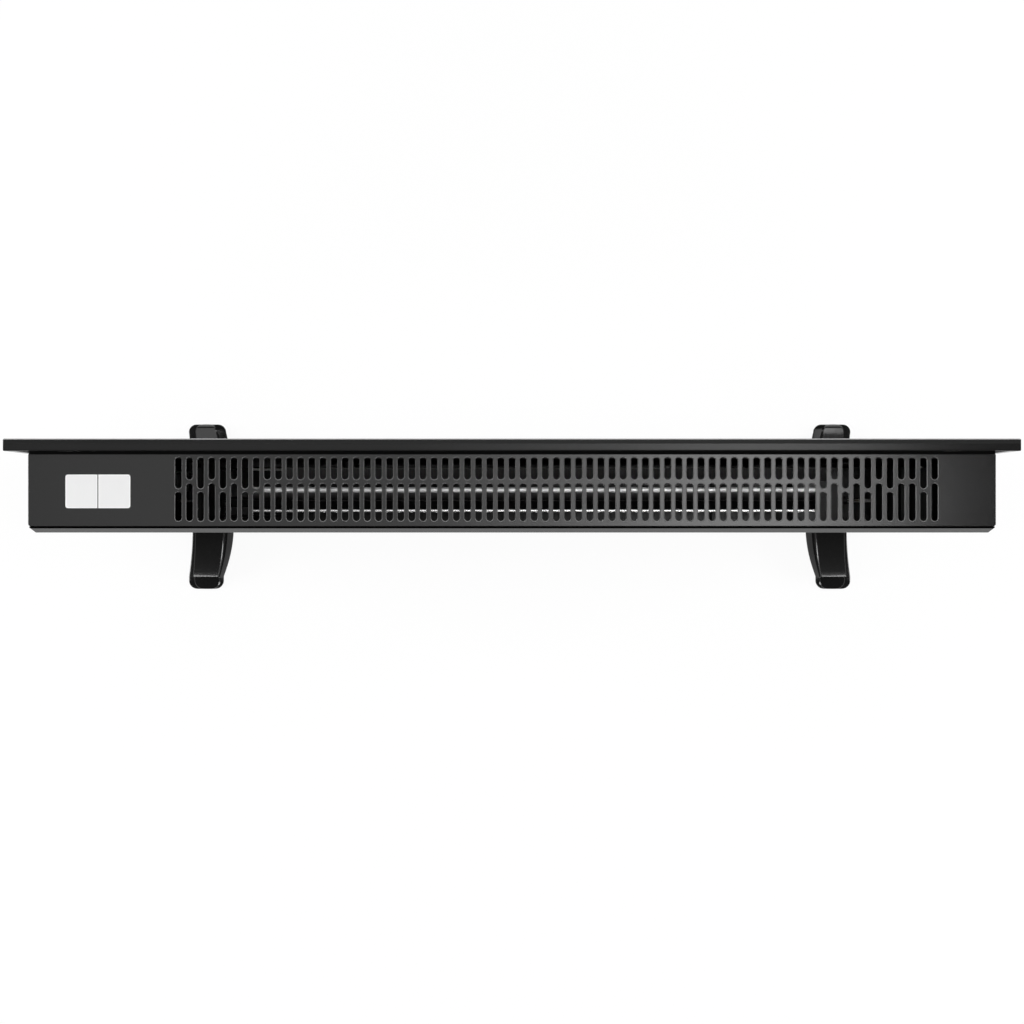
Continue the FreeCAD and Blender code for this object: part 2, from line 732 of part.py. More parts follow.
shield_kink = shield_high - SHIELD_LEAN_HEIGHT
shield_x0 = bracket_x + SHIELD_END_GAP
shield_x1 = fuse_x - SHIELD_FUSE_GAP

partition_middle = (partition_low + partition_high) / 2
partition_tab_heights = [partition_low + TAB_SCREW_MARGIN, partition_middle]
partition_tab_heights.append(partition_high - TAB_SCREW_MARGIN)
tab_screw_places = [(bay_x + TAB_WIDTH / 2, z) for z in partition_tab_heights]
bracket_tab_heights = (bracket_low + BRACKET_SCREW_MARGIN, bracket_high - BRACKET_SCREW_MARGIN)
tab_screw_places += [(bracket_back_x - TAB_WIDTH / 2, z) for z in bracket_tab_heights]
shield_middle = (shield_x0 + shield_x1) / 2
shield_fix_places = []
for side in (-1, 1):
    for z in (shield_low + SHIELD_FIX_MARGIN, shield_kink - SHIELD_FIX_MARGIN):
        shield_fix_places.append((shield_middle + side * SHIELD_FIX_SPACING / 2, z))
fuse_strip_top = fuse_z - FUSE_RADIUS - FUSE_SEAT_GAP
fuse_strip_bottom = fuse_strip_top - SHEET
fuse_tab_z = fuse_strip_bottom - TAB_WIDTH / 2
tilt_screw_places = [(element_y + side * TILT_SCREW_OFFSET, tilt_z + TILT_SCREW_RISE) for side in (-1, 1)]


def front_plate():
    """Steel sheet that closes the front of the body, clamped against the flange."""
    x = inside_x - PLATE_CLEARANCE
    low = inside_bottom + PLATE_CLEARANCE
    plate = box(-x, x, flange_back, plate_back, low, inside_top - PLATE_CLEARANCE)
    cutters = [cable_block(CABLE_HOLE_MARGIN, flange_back, plate_back)]
    for x, z in panel_screw_places + tab_screw_places:
        cutters.append(bar_y(screw_hole, x, flange_back, plate_back, z))
    return plate.cut(cutters)


def partition_plate():
    """Upright sheet between the air channel and the electronics bay."""
    plate = box(partition_x, bay_x, plate_back, sheet_back, partition_low, partition_high)
    tab = box(bay_x, bay_x + TAB_WIDTH, plate_back, plate_back + SHEET, partition_low, partition_high)
    flange_end = bay_x + PARTITION_FLANGE
    flange = box(bay_x, flange_end, flange_front, sheet_back, partition_high - SHEET, partition_high)
    plate = join(plate, tab, flange)
    lead_hole = LEAD_RADIUS + LEAD_HOLE_CLEARANCE
    fuse_hole = FUSE_LEAD_RADIUS + LEAD_HOLE_CLEARANCE
    holes = [(INSULATOR_RADIUS + FIT_CLEARANCE, element_y, element_z), (lead_hole, element_y, lead_z)]
    holes += [(fuse_hole, fuse_lead_y, fuse_z), (fuse_hole, fuse_return_y, fuse_z)]
    holes += [(screw_hole, fuse_middle, fuse_tab_z)]
    holes += [(screw_hole, y, z) for y, z in tilt_screw_places]
    cutters = [bar_x(radius, partition_x, bay_x, y, z) for radius, y, z in holes]
    for x, z in tab_screw_places[:len(partition_tab_heights)]:
        cutters.append(bar_y(screw_hole, x, plate_back, plate_back + SHEET, z))
    return plate.cut(cutters)


def element_bracket():
    """Bent sheet that carries the far end of the element."""
    tab_end = bracket_back_x - TAB_WIDTH
    plate = box(bracket_back_x, bracket_x, plate_back, sheet_back, bracket_low, bracket_high)
    tab = box(tab_end, bracket_back_x, plate_back, plate_back + SHEET, bracket_low, bracket_high)
    flange_end = bracket_x + BRACKET_FLANGE
    flange = box(bracket_x, flange_end, flange_front, sheet_back, bracket_high - SHEET, bracket_high)
    bracket = join(plate, tab, flange)
    insulator_hole = INSULATOR_RADIUS + FIT_CLEARANCE
    cutters = [bar_x(insulator_hole, bracket_back_x, bracket_x, element_y, element_z)]
    for x, z in tab_screw_places[len(partition_tab_heights):]:
        cutters.append(bar_y(screw_hole, x, plate_back, plate_back + SHEET, z))
    return bracket.cut(cutters)


def heat_shield():
    """Sheet in front of the element, leaning towards the glass at its top."""
    lean_front = shield_front - SHIELD_LEAN
    front = [(shield_x0, shield_front, shield_low), (shield_x0, shield_front, shield_kink)]
    front += [(shield_x0, lean_front, shield_high)]
    back = [(x, y + SHIELD_SHEET, z) for x, y, z in reversed(front)]
    shield = prism(front + back, (shield_x1 - shield_x0, 0, 0))
    holes = []
    for x, z in shield_fix_places:
        holes.append(bar_y(screw_hole, x, shield_front, shield_front + SHIELD_SHEET, z))
    return shield.cut(holes)


NODES["front_plate"] = front_plate()
NODES["partition_plate"] = partition_plate()
NODES["element_bracket"] = element_bracket()
NODES["heat_shield"] = heat_shield()
NODES["shield_standoffs"] = group(
    [spacer(STANDOFF_RADIUS, x, plate_back, shield_front, z) for x, z in shield_fix_places]
)
shield_seat = shield_front + SHIELD_SHEET
NODES["shield_screws"] = group(
    [pan_screw((x, shield_seat, z), (0, -1, 0), SCREW_BITE) for x, z in shield_fix_places]
)

# Heating element with its core, insulators and terminals
core_near = bay_x + INSULATOR_NOSE + CORE_STUB
core_far = bracket_back_x - INSULATOR_NOSE - CORE_STUB
element_near = partition_x - ELEMENT_GAP_SWITCH_SIDE
element_far = bracket_x + ELEMENT_GAP_FAR_SIDE
core_bore = CORE_RADIUS + CORE_CLEARANCE


def element_line(radius, x0, x1, y_offset=0.0, z_offset=0.0):
    """Round bar along the element's length, set off from its axis."""
    y = element_y + y_offset
    z = element_z + z_offset
    return bar_x(radius, x0, x1, y, z)


def fin_tip(y_offset, z_offset, rise, width, crown):
    """Bar along the end of an arm, its outer face crowned to a radius."""
    y = element_y + y_offset
    z = element_z + z_offset
    half = TIP_HEIGHT / 2
    bar = box(element_far, element_near, y - width / 2, y + width / 2, z - half, z + half)
    return bar.common(element_line(crown, element_far, element_near, y_offset, z_offset - rise * (crown - half)))


def element_profile():
    """Extruded X section: a bored hub and four arms with crowned tips, the front ones wider."""
    profile = element_line(HUB_RADIUS, element_far, element_near)
    reach = math.hypot(ARM_REACH_Y, ARM_REACH_Z)
    across_y = ARM_THICK / 2 * ARM_REACH_Z / reach
    across_z = ARM_THICK / 2 * ARM_REACH_Y / reach
    pieces = []
    tips = ((-1, FRONT_TIP_WIDTH, FRONT_TIP_CROWN), (1, REAR_TIP_WIDTH, REAR_TIP_CROWN))
    for side, tip_width, crown in tips:
        for rise in (-1, 1):
            tip_y = side * ARM_REACH_Y
            tip_z = rise * ARM_REACH_Z
            skew = side * rise * across_z
            outline = [(across_y, -skew), (tip_y + across_y, tip_z - skew)]
            outline += [(tip_y - across_y, tip_z + skew), (-across_y, skew)]
            arm = [(element_far, element_y + y, element_z + z) for y, z in outline]
            pieces.append(prism(arm, (element_near - element_far, 0, 0)))
            pieces.append(fin_tip(tip_y, tip_z, rise, tip_width, crown))
    return join(profile, *pieces).cut(element_line(core_bore, element_far, element_near))


def insulator(plate_front, plate_rear, outward):
    """Ceramic bush through a plate, its flange on the element's side."""
    flange_end = plate_front - outward * INSULATOR_FLANGE
    nose_end = plate_rear + outward * INSULATOR_NOSE
    bush_body = element_line(INSULATOR_FLANGE_RADIUS, flange_end, plate_front)
    bush_body = join(bush_body, element_line(INSULATOR_RADIUS, flange_end, nose_end))
    return bush_body.cut(element_line(core_bore, flange_end, nose_end))


def terminal(x):
    """Flat push-on tab at an end of the core."""
    y = element_y - TERMINAL_THICK / 2
    z = element_z - TERMINAL_WIDTH / 2
    return Part.makeBox(TERMINAL_LENGTH, TERMINAL_THICK, TERMINAL_WIDTH, Vector(x, y, z))


NODES["element_profile"] = element_profile()
NODES["element_core"] = element_line(CORE_RADIUS, core_far, core_near)
NODES["element_insulators"] = group(
    [insulator(partition_x, bay_x, 1), insulator(bracket_x, bracket_back_x, -1)]
)
tab_near = core_near + TERMINAL_LENGTH
tab_far = core_far - TERMINAL_LENGTH
NODES["element_terminals"] = group([terminal(core_near), terminal(tab_far)])

# Power board with its parts
board_hole_places = []
for x in (board_x + BOARD_HOLE_INSET, board_x + BOARD_WIDTH - BOARD_HOLE_INSET):
    for z in (board_low + BOARD_HOLE_INSET, board_high - BOARD_HOLE_INSET):
        board_hole_places.append((x, z))
board = box(board_x, board_x + BOARD_WIDTH, board_front, board_back, board_low, board_high)
board = board.cut([bar_y(screw_hole, x, board_front, board_back, z) for x, z in board_hole_places])
NODES["power_board"] = board
NODES["board_standoffs"] = group(
    [spacer(BOARD_STANDOFF_RADIUS, x, plate_back, board_front, z) for x, z in board_hole_places]
)
board_shank = BOARD_THICK + BOARD_STAND - OVERCUT
NODES["board_screws"] = group(
    [pan_screw((x, board_back, z), (0, -1, 0), board_shank) for x, z in board_hole_places]
)
relay_x = board_x + RELAY_INSET
relay_low = fuse_z - RELAY_HEIGHT / 2
relay_back = board_back + RELAY_DEPTH
relays = []
for step in range(2):
    x = relay_x + step * RELAY_PITCH
    relays.append(box(x, x + RELAY_WIDTH, board_back, relay_back, relay_low, relay_low + RELAY_HEIGHT))
NODES["relays"] = group(relays)
transformer_x = board_x + TRANSFORMER_INSET
transformer_low = board_low + TRANSFORMER_RISE


def board_block(x, z, size, depth):
    """Square block standing on the board."""
    return box(x, x + size, board_back, board_back + depth, z, z + size)


components = [board_block(transformer_x, transformer_low, TRANSFORMER_SIZE, TRANSFORMER_DEPTH)]
capacitor_z = board_low + CAPACITOR_RISE
for step in range(3):
    x = transformer_x + step * CAPACITOR_PITCH
    components.append(bar_y(CAPACITOR_RADIUS, x, board_back, board_back + CAPACITOR_LENGTH, capacitor_z))
chip_z = lead_z + BLOCK_HEIGHT
components.append(board_block(transformer_x, chip_z, CHIP_SIZE, CHIP_DEPTH))
NODES["board_components"] = group(components)
NODES["terminal_block"] = box(
    block_x, block_x + BLOCK_WIDTH, board_back, block_back, block_low, block_low + BLOCK_HEIGHT
)
NODES["display_cable"] = cable_block(0, display_back, board_front)

# Leads and thermal fuse
return_lead_x = block_x + RETURN_LEAD_INSET
element_lead_x = block_x + ELEMENT_LEAD_INSET
far_turn_x = tab_far - FAR_LEAD_TURN
return_lead = bent_wire(
    [
        (tab_far, element_y, element_z), (far_turn_x, element_y, element_z), (far_turn_x, element_y, lead_z),
        (return_lead_x, element_y, lead_z), (return_lead_x, block_back, lead_z),
    ],
    LEAD_BEND, LEAD_RADIUS,
)
element_lead = bent_wire(
    [
        (tab_near, element_y, element_z), (element_lead_x, element_y, element_z),
        (element_lead_x, element_y, lead_z), (element_lead_x, block_back, lead_z),
    ],
    LEAD_BEND, LEAD_RADIUS,
)
NODES["element_leads"] = group([return_lead, element_lead])
fuse_turn_x = bay_x + FUSE_LEAD_TURN
relay_middle = board_back + RELAY_DEPTH / 2
relay_entry_x = relay_x + RELAY_WIDTH / 2
fuse_lead = bent_wire(
    [
        (relay_x, relay_middle, fuse_z), (fuse_turn_x, relay_middle, fuse_z),
        (fuse_turn_x, fuse_lead_y, fuse_z), (fuse_x, fuse_lead_y, fuse_z), (fuse_x, fuse_front, fuse_z),
    ],
    FUSE_LEAD_BEND, FUSE_LEAD_RADIUS,
)
fuse_return = bent_wire(
    [
        (fuse_x, fuse_back, fuse_z), (fuse_x, fuse_return_y, fuse_z),
        (relay_entry_x, fuse_return_y, fuse_z), (relay_entry_x, relay_back, fuse_z),
    ],
    FUSE_LEAD_BEND, FUSE_LEAD_RADIUS,
)
NODES["fuse_leads"] = group([fuse_lead, fuse_return])
NODES["thermal_fuse"] = bar_y(FUSE_RADIUS, fuse_x, fuse_front, fuse_back, fuse_z)
strip_front = fuse_middle - FUSE_STRIP_WIDTH / 2
strip_back = fuse_middle + FUSE_STRIP_WIDTH / 2
strip = box(fuse_x - FUSE_STRIP_END, partition_x, strip_front, strip_back, fuse_strip_bottom, fuse_strip_top)
strip_tab_x = partition_x - SHEET
strip_tab_low = fuse_strip_bottom - TAB_WIDTH
strip_tab = box(strip_tab_x, partition_x, strip_front, strip_back, strip_tab_low, fuse_strip_bottom)
fuse_tab_hole = bar_x(screw_hole, strip_tab_x, partition_x, fuse_middle, fuse_tab_z)
NODES["fuse_bracket"] = join(strip, strip_tab).cut(fuse_tab_hole)

# Room temperature sensor on the bottom wall
sensor_x = half_body - SENSOR_INSET
sensor_top = inside_bottom + SENSOR_SEAT
half_sensor = SENSOR_SIZE / 2
sensor_seat = box(
    sensor_x - half_sensor, sensor_x + half_sensor, switch_y - half_sensor, switch_y + half_sensor,
    inside_bottom, sensor_top,
)
sensor_bead = bar_z(SENSOR_RADIUS, sensor_x, switch_y, sensor_top, sensor_top + SENSOR_SIZE)
NODES["temperature_sensor"] = join(sensor_seat, sensor_bead)

# Main rocker switch in the side wall
pivot_x = half_body - ROCKER_PIVOT_DEPTH
bezel_x = half_body + SWITCH_BEZEL
switch_back_x = half_body - SWITCH_DEPTH
half_switch_y = SWITCH_WIDTH / 2
half_switch_z = SWITCH_LENGTH / 2
half_cavity_y = half_switch_y - SWITCH_SIDE_WALL
half_cavity_z = half_switch_z - SWITCH_END_WALL
socket_end = half_switch_y - PIVOT_SOCKET_WALL


def switch_block(x0, x1, half_y, half_z):
    """Block centred on the switch opening."""
    return box(x0, x1, switch_y - half_y, switch_y + half_y, switch_z - half_z, switch_z + half_z)


def pivot_line(radius, reach):
    """Round bar on the rocker's axis, reaching equally to both sides."""
    return bar_y(radius, pivot_x, switch_y - reach, switch_y + reach, switch_z)


def switch_body():
    """Housing with a bezel on the wall, a cavity for the rocker and sockets for its trunnions."""
    body = switch_block(switch_back_x, half_body, half_switch_y, half_switch_z)
    overlap_y = half_switch_y + SWITCH_BEZEL_OVERLAP
    overlap_z = half_switch_z + SWITCH_BEZEL_OVERLAP
    body = join(body, switch_block(half_body, bezel_x, overlap_y, overlap_z))
    body = body.cut(switch_block(bezel_x - ROCKER_CAVITY, bezel_x, half_cavity_y, half_cavity_z))
    return body.cut(pivot_line(ROCKER_PIVOT_RADIUS + RUNNING_CLEARANCE, socket_end))


def switch_rocker():
    """Shallow V key on two trunnions, stored with its lower half pressed in."""
    crest = ROCKER_CROWN + ROCKER_HALF_LENGTH * math.tan(math.radians(ROCKER_TILT))
    upper = [
        (crest, ROCKER_HALF_LENGTH), (-ROCKER_SHOULDER, ROCKER_SHOULDER_HALF_LENGTH),
        (-ROCKER_KEEL, ROCKER_KEEL_HALF_LENGTH),
    ]
    lower = [(out, -rise) for out, rise in reversed(upper)]
    outline = [(ROCKER_CROWN, 0.0)] + upper + lower
    half_width = half_cavity_y - ROCKER_SIDE_CLEARANCE
    points = [(pivot_x + out, switch_y - half_width, switch_z + rise) for out, rise in outline]
    key = prism(points, (0, 2 * half_width, 0))
    key = join(key, pivot_line(ROCKER_PIVOT_RADIUS, socket_end - ROCKER_SIDE_CLEARANCE))
    key.rotate(Vector(pivot_x, switch_y, switch_z), Vector(0, 1, 0), ROCKER_TILT)
    return key


switch_tab_end = switch_back_x - SWITCH_TAB_LENGTH
switch_tabs = []
for step in (-0.5, 0.5):
    z = switch_z + step * SWITCH_TAB_SPACING
    half_t = TERMINAL_THICK / 2
    half_w = SWITCH_TAB_WIDTH / 2
    switch_tabs.append(
        box(switch_tab_end, switch_back_x, switch_y - half_w, switch_y + half_w, z - half_t, z + half_t)
    )
NODES["switch_body"] = switch_body()
NODES["switch_rocker"] = switch_rocker()
NODES["switch_terminals"] = group(switch_tabs)
switch_lead_z = switch_z + SWITCH_TAB_SPACING / 2
switch_lead_x = switch_tab_end - SWITCH_LEAD_RUN
block_middle = board_back + BLOCK_DEPTH / 2
NODES["switch_lead"] = bent_wire(
    [
        (switch_tab_end, switch_y, switch_lead_z), (switch_lead_x, switch_y, switch_lead_z),
        (switch_lead_x - SWITCH_LEAD_SLANT, block_middle, lead_z),
        (block_x + BLOCK_WIDTH, block_middle, lead_z),
    ],
    LEAD_BEND, LEAD_RADIUS,
)


# Cord gland in the bottom wall
def hexagon(radius, x, y, z0, z1):
    """Upright six-sided bar."""
    corners = []
    for step in range(6):
        angle = math.radians(60 * step)
        corners.append((x + radius * math.cos(angle), y + radius * math.sin(angle), z0))
    return prism(corners, (0, 0, z1 - z0))


gland_low = body_bottom - GLAND_FLANGE
gland_high = inside_bottom + GLAND_TAIL
gland = hexagon(GLAND_FLANGE_RADIUS, gland_x, switch_y, gland_low, body_bottom)
gland = join(gland, bar_z(GLAND_RADIUS, gland_x, switch_y, gland_low, gland_high))
NODES["cord_gland"] = gland.cut(
    bar_z(GLAND_BORE_RADIUS, gland_x, switch_y, gland_low, gland_high)
)
nut_top = inside_bottom + GLAND_NUT
gland_nut = hexagon(GLAND_FLANGE_RADIUS, gland_x, switch_y, inside_bottom, nut_top)
NODES["gland_nut"] = gland_nut.cut(
    bar_z(GLAND_RADIUS + FIT_CLEARANCE, gland_x, switch_y, inside_bottom, nut_top)
)


# Tip-over switch: base with pivot and stops, hanging pendulum, clip and microswitch
def tilt_line(radius, x0, x1, y_offset=0.0, z_offset=0.0):
    """Round bar along X, set off from the pendulum's pivot."""
    y = element_y + y_offset
    z = tilt_z + z_offset
    return bar_x(radius, x0, x1, y, z)


bob_x0 = tilt_base_x + TILT_BOB_GAP
bob_x1 = bob_x0 + TILT_BOB_WIDTH
clip_x0 = bob_x1 + TILT_CLIP_GAP
clip_x1 = clip_x0 + TILT_CLIP


def tilt_switch_base():
    """Plate on the partition with the pivot pin and two stop pins."""
    base = box(
        bay_x, tilt_base_x, element_y - TILT_BASE_HALF_WIDTH, element_y + TILT_BASE_HALF_WIDTH,
        tilt_z - TILT_BASE_BELOW, tilt_z + TILT_BASE_ABOVE,
    )
    bob_angle = math.asin(TILT_BOB_RADIUS / TILT_LENGTH)
    stop_angle = math.asin((TILT_STOP_RADIUS + TILT_STOP_GAP) / TILT_LENGTH)
    stop_at = math.radians(TILT_RANGE) + bob_angle + stop_angle
    pins = [tilt_line(TILT_PIN_RADIUS, bay_x, clip_x1 + TILT_PIN_END)]
    for side in (-1, 1):
        y_offset = side * TILT_LENGTH * math.sin(stop_at)
        pins.append(tilt_line(TILT_STOP_RADIUS, bay_x, bob_x1, y_offset, -TILT_LENGTH * math.cos(stop_at)))
    base = join(base, *pins)
    holes = [bar_x(screw_hole, bay_x, tilt_base_x, y, z) for y, z in tilt_screw_places]
    return base.cut(holes)


def tilt_pendulum():
    """Weight on an arm, free to swing on the pivot pin."""
    hub = tilt_line(TILT_HUB_RADIUS, bob_x0, bob_x1)
    half_arm = TILT_ARM_WIDTH / 2
    arm = box(bob_x0, bob_x1, element_y - half_arm, element_y + half_arm, tilt_z - TILT_LENGTH, tilt_z)
    bob = tilt_line(TILT_BOB_RADIUS, bob_x0, bob_x1, 0.0, -TILT_LENGTH)
    return join(hub, arm, bob).cut(tilt_line(TILT_PIN_RADIUS + RUNNING_CLEARANCE, bob_x0, bob_x1))


plunger_low = tilt_z + TILT_HUB_RADIUS + TILT_PLUNGER_GAP
microswitch_low = plunger_low + TILT_PLUNGER
microswitch = box(
    tilt_base_x, tilt_base_x + TILT_SWITCH_DEPTH,
    element_y - TILT_SWITCH_HALF_WIDTH, element_y + TILT_SWITCH_HALF_WIDTH,
    microswitch_low, microswitch_low + TILT_SWITCH_HEIGHT,
)
plunger_x = (bob_x0 + bob_x1) / 2
plunger = bar_z(TILT_PLUNGER_RADIUS, plunger_x, element_y, plunger_low, microswitch_low)
NODES["tilt_switch_base"] = tilt_switch_base()
NODES["tilt_pendulum"] = tilt_pendulum()
NODES["tilt_clip"] = tilt_line(TILT_CLIP_RADIUS, clip_x0, clip_x1).cut(
    tilt_line(TILT_PIN_RADIUS + RUNNING_CLEARANCE, clip_x0, clip_x1)
)
NODES["tilt_microswitch"] = join(microswitch, plunger)

# Screws of the sheet metal, the fuse bracket and the tip-over switch
bracket_screws = []
for x, z in tab_screw_places:
    bracket_screws.append(pan_screw((x, plate_back + SHEET, z), (0, -1, 0), TILT_SCREW_SHANK))
bracket_screws.append(pan_screw((strip_tab_x, fuse_middle, fuse_tab_z), (1, 0, 0), TILT_SCREW_SHANK))
for y, z in tilt_screw_places:
    bracket_screws.append(pan_screw((tilt_base_x, y, z), (-1, 0, 0), TILT_SCREW_SHANK))
NODES["bracket_screws"] = group(bracket_screws)


# Rear cover with its screws
def cover_slot(width, length, x, z):
    """Round-ended slot along Z, cut through the wall of the cover."""
    bar = slot_bar(width, length, COVER_WALL)
    bar.rotate(Vector(0, 0, 0), Vector(1, 0, 0), 90)
    return moved(bar, x, cover_back, z)


def keyhole(x):
    """Entry hole with a narrow neck above it, to hang the body on a wall screw."""
    z = body_bottom + KEYHOLE_RISE
    entry = bar_y(KEYHOLE_ENTRY_RADIUS, x, cover_inside, cover_back, z)
    neck_length = KEYHOLE_TRAVEL + 2 * KEYHOLE_NECK_RADIUS
    return join(entry, cover_slot(2 * KEYHOLE_NECK_RADIUS, neck_length, x, z - KEYHOLE_NECK_RADIUS))


def rear_cover():
    """Shallow bevelled tray whose lip tucks into the shell."""
    edge_back = cover_front + COVER_EDGE
    wide = half_body - COVER_INSET
    low = body_bottom + COVER_INSET
    high = body_top - COVER_INSET
    cover = box(-wide, wide, cover_front, edge_back, low, high)
    narrow = wide - COVER_BEVEL
    cover = join(cover, Part.makeWedge(
        -wide, edge_back, low, low + COVER_BEVEL, -narrow,
        wide, cover_back, high, high - COVER_BEVEL_TOP, narrow,
    ))
    pocket_x = half_body - COVER_RIM
    pocket_low = body_bottom + COVER_RIM
    cover = cover.cut(box(-pocket_x, pocket_x, cover_front, cover_inside, pocket_low, high - COVER_BEVEL_TOP))
    lip_front = cover_front - LIP_DEPTH
    lip = rectangle_ring(
        inside_x - LIP_CLEARANCE, inside_bottom + LIP_CLEARANCE, inside_top - LIP_CLEARANCE,
        LIP_WALL, lip_front, cover_front,
    )
    reach = POST_SIZE / 2 + LIP_CLEARANCE
    notches = []
    for x, z in post_places:
        notches.append(box(x - reach, x + reach, lip_front, shell_back + LIP_CLEARANCE, z - reach, z + reach))
    lip = lip.cut(notches)
    step_x = half_body - SEAM_DEPTH
    step_width = SHELL_WALL - SEAM_DEPTH + LIP_CLEARANCE + LIP_WALL
    step = rectangle_ring(
        step_x, body_bottom + SEAM_DEPTH, body_top - SEAM_DEPTH, step_width, shell_back, cover_front,
    )
    bosses = [bar_y(COVER_BOSS_RADIUS, x, shell_back, cover_inside, z) for x, z in post_places]
    cover = join(cover, step, lip, *bosses)
    cutters = [keyhole(side * KEYHOLE_SPACING / 2) for side in (-1, 1)]
    count = int(2 * REAR_INTAKE_HALF_SPAN / REAR_INTAKE_PITCH) + 1
    intake_low = body_bottom + REAR_INTAKE_RISE
    for step in range(count):
        x = (step - (count - 1) / 2) * REAR_INTAKE_PITCH
        cutters.append(cover_slot(REAR_INTAKE_WIDTH, REAR_INTAKE_LENGTH, x, intake_low))
    head_hole = SCREW_HEAD_RADIUS + SCREW_CLEARANCE
    for x, z in post_places:
        cutters.append(bar_y(screw_hole, x, shell_back, cover_inside, z))
        cutters.append(bar_y(head_hole, x, cover_inside, cover_back, z))
    return cover.cut(cutters)


NODES["rear_cover"] = rear_cover()
cover_shank = cover_inside - shell_back + SCREW_BITE
NODES["rear_cover_screws"] = group(
    [pan_screw((x, cover_inside, z), (0, -1, 0), cover_shank) for x, z in post_places]
)


# Blank sticker in two fields
def blank_label():
    """Thin sticker with rounded corners, split in two by a narrow gap."""
    x1 = half_body - LABEL_INSET
    x0 = x1 - LABEL_WIDTH
    y0 = shell_front + LABEL_FRONT_MARGIN
    y1 = y0 + LABEL_DEPTH
    top = body_top + LABEL_THICK
    label = box(x0, x1, y0, y1, body_top, top)
    label = label.makeFillet(LABEL_CORNER, edges_along(label, Vector(0, 0, 1)))
    middle = (x0 + x1) / 2
    half_gap = LABEL_DIVIDER / 2
    return label.cut(box(middle - half_gap, middle + half_gap, y0, y1, body_top, top))


NODES["blank_label"] = blank_label()


# Feet with pads, screws and nuts
def blended_edges(end_edges, share):
    """Edge places between a foot's middle and one of its ends."""
    return [middle + share * (end - middle) for middle, end in zip(FOOT_MIDDLE_EDGES, end_edges)]


def foot_section(y, height, edges, narrowing):
    """Outline of a foot across its length: a base with sloping ledges, steep walls, bevelled top edges."""
    floor_in, floor_out, top_in, top_out = edges
    shoulder = height - FOOT_EDGE
    inner_ledge = min(INNER_LEDGE, shoulder - LEDGE_STEP)
    outer_ledge = min(OUTER_LEDGE, inner_ledge)
    rim = min(LEDGE_RIM, outer_ledge - LEDGE_STEP)
    base_in = floor_in + narrowing
    base_out = floor_out - narrowing
    wall_in = top_in + narrowing - FOOT_EDGE / 2
    wall_out = top_out - narrowing + FOOT_EDGE / 2
    points = [
        (base_in, PAD_STAND), (base_out, PAD_STAND), (base_out, rim), (wall_out + WALL_LEAN, outer_ledge),
        (wall_out, shoulder), (wall_out - FOOT_EDGE, height), (wall_in + FOOT_EDGE, height),
        (wall_in, shoulder), (wall_in - WALL_LEAN, inner_ledge), (base_in, rim),
    ]
    corners = [Vector(x, y, z) for x, z in points]
    return Part.makePolygon(corners + corners[:1])


def foot_sections():
    """Outlines from toe to tail: low toe, step under the glass, flat saddle, sloping tail, flat end."""
    toe_y = -FOOT_LENGTH / 2
    tail_y = FOOT_LENGTH / 2
    slope_end = tail_y - TAIL_BEVEL
    step_height = FOOT_HEIGHT - PANEL_OVERHANG_BOTTOM - FOOT_PANEL_CLEARANCE
    toe_rise_y = glass_front - FOOT_STEP / 2
    toe_rise_height = (TOE_HEIGHT + step_height) / 2 - FOOT_EDGE
    stations = [
        (toe_y, TOE_HEIGHT - TOE_BEVEL, FOOT_TOE_EDGES, 1.0, TOE_BEVEL),
        (toe_y + TOE_BEVEL / 3, TOE_HEIGHT - TOE_BEVEL / 3, FOOT_TOE_EDGES, 1.0, TOE_BEVEL / 3),
        (toe_y + TOE_BEVEL, TOE_HEIGHT, FOOT_TOE_EDGES, 1.0, 0.0),
        (toe_rise_y, toe_rise_height, FOOT_TOE_EDGES, 0.6, 0.0),
        (frame_back, step_height, FOOT_TOE_EDGES, 0.15, 0.0),
        (saddle_front, FOOT_HEIGHT, FOOT_TOE_EDGES, 0.0, 0.0),
        (saddle_back, FOOT_HEIGHT, FOOT_TAIL_EDGES, 0.0, 0.0),
    ]
    slope_steps = 4
    for step in range(1, slope_steps + 1):
        share = step / slope_steps
        y = saddle_back + share * (slope_end - saddle_back)
        height = FOOT_HEIGHT + share * (TAIL_HEIGHT - FOOT_HEIGHT)
        stations.append((y, height, FOOT_TAIL_EDGES, share * share, 0.0))
    face_y = slope_end + TAIL_FACE
    stations.append((face_y, INNER_LEDGE, FOOT_TAIL_EDGES, 1.0, 0.0))
    drop = INNER_LEDGE - TAIL_TIP_HEIGHT
    for share, narrowing in ((0.6, 1.0), (0.85, 3.5), (1.0, 8.0)):
        y = face_y + share * (tail_y - face_y)
        stations.append((y, INNER_LEDGE - share * drop, FOOT_TAIL_EDGES, 1.0, narrowing))
    return [
        foot_section(y, height, blended_edges(ends, share), narrowing)
        for y, height, ends, share, narrowing in stations
    ]


pad_places = (-FOOT_LENGTH / 2 + PAD_SETBACK, FOOT_LENGTH / 2 - PAD_SETBACK)
head_seat = FOOT_HEIGHT - FOOT_SCREW_GRIP


def foot():
    """Foot of the switch side, at x = 0, with pad recesses and screw wells underneath."""
    body = Part.makeLoft(foot_sections(), True, True)
    cutters = []
    for y in pad_places:
        recess = PAD_RADIUS + FIT_CLEARANCE
        cutters.append(bar_z(recess, 0, y, 0, PAD_THICK))
    for step in (-0.5, 0.5):
        y = saddle_middle + step * FOOT_SCREW_SPACING
        x = foot_top_middle
        cutters.append(bar_z(FOOT_SCREW_RADIUS + SCREW_CLEARANCE, x, y, 0, FOOT_HEIGHT))
        cutters.append(bar_z(FOOT_SCREW_HEAD_RADIUS + OVERCUT, x, y, 0, head_seat))
    return body.cut(cutters)


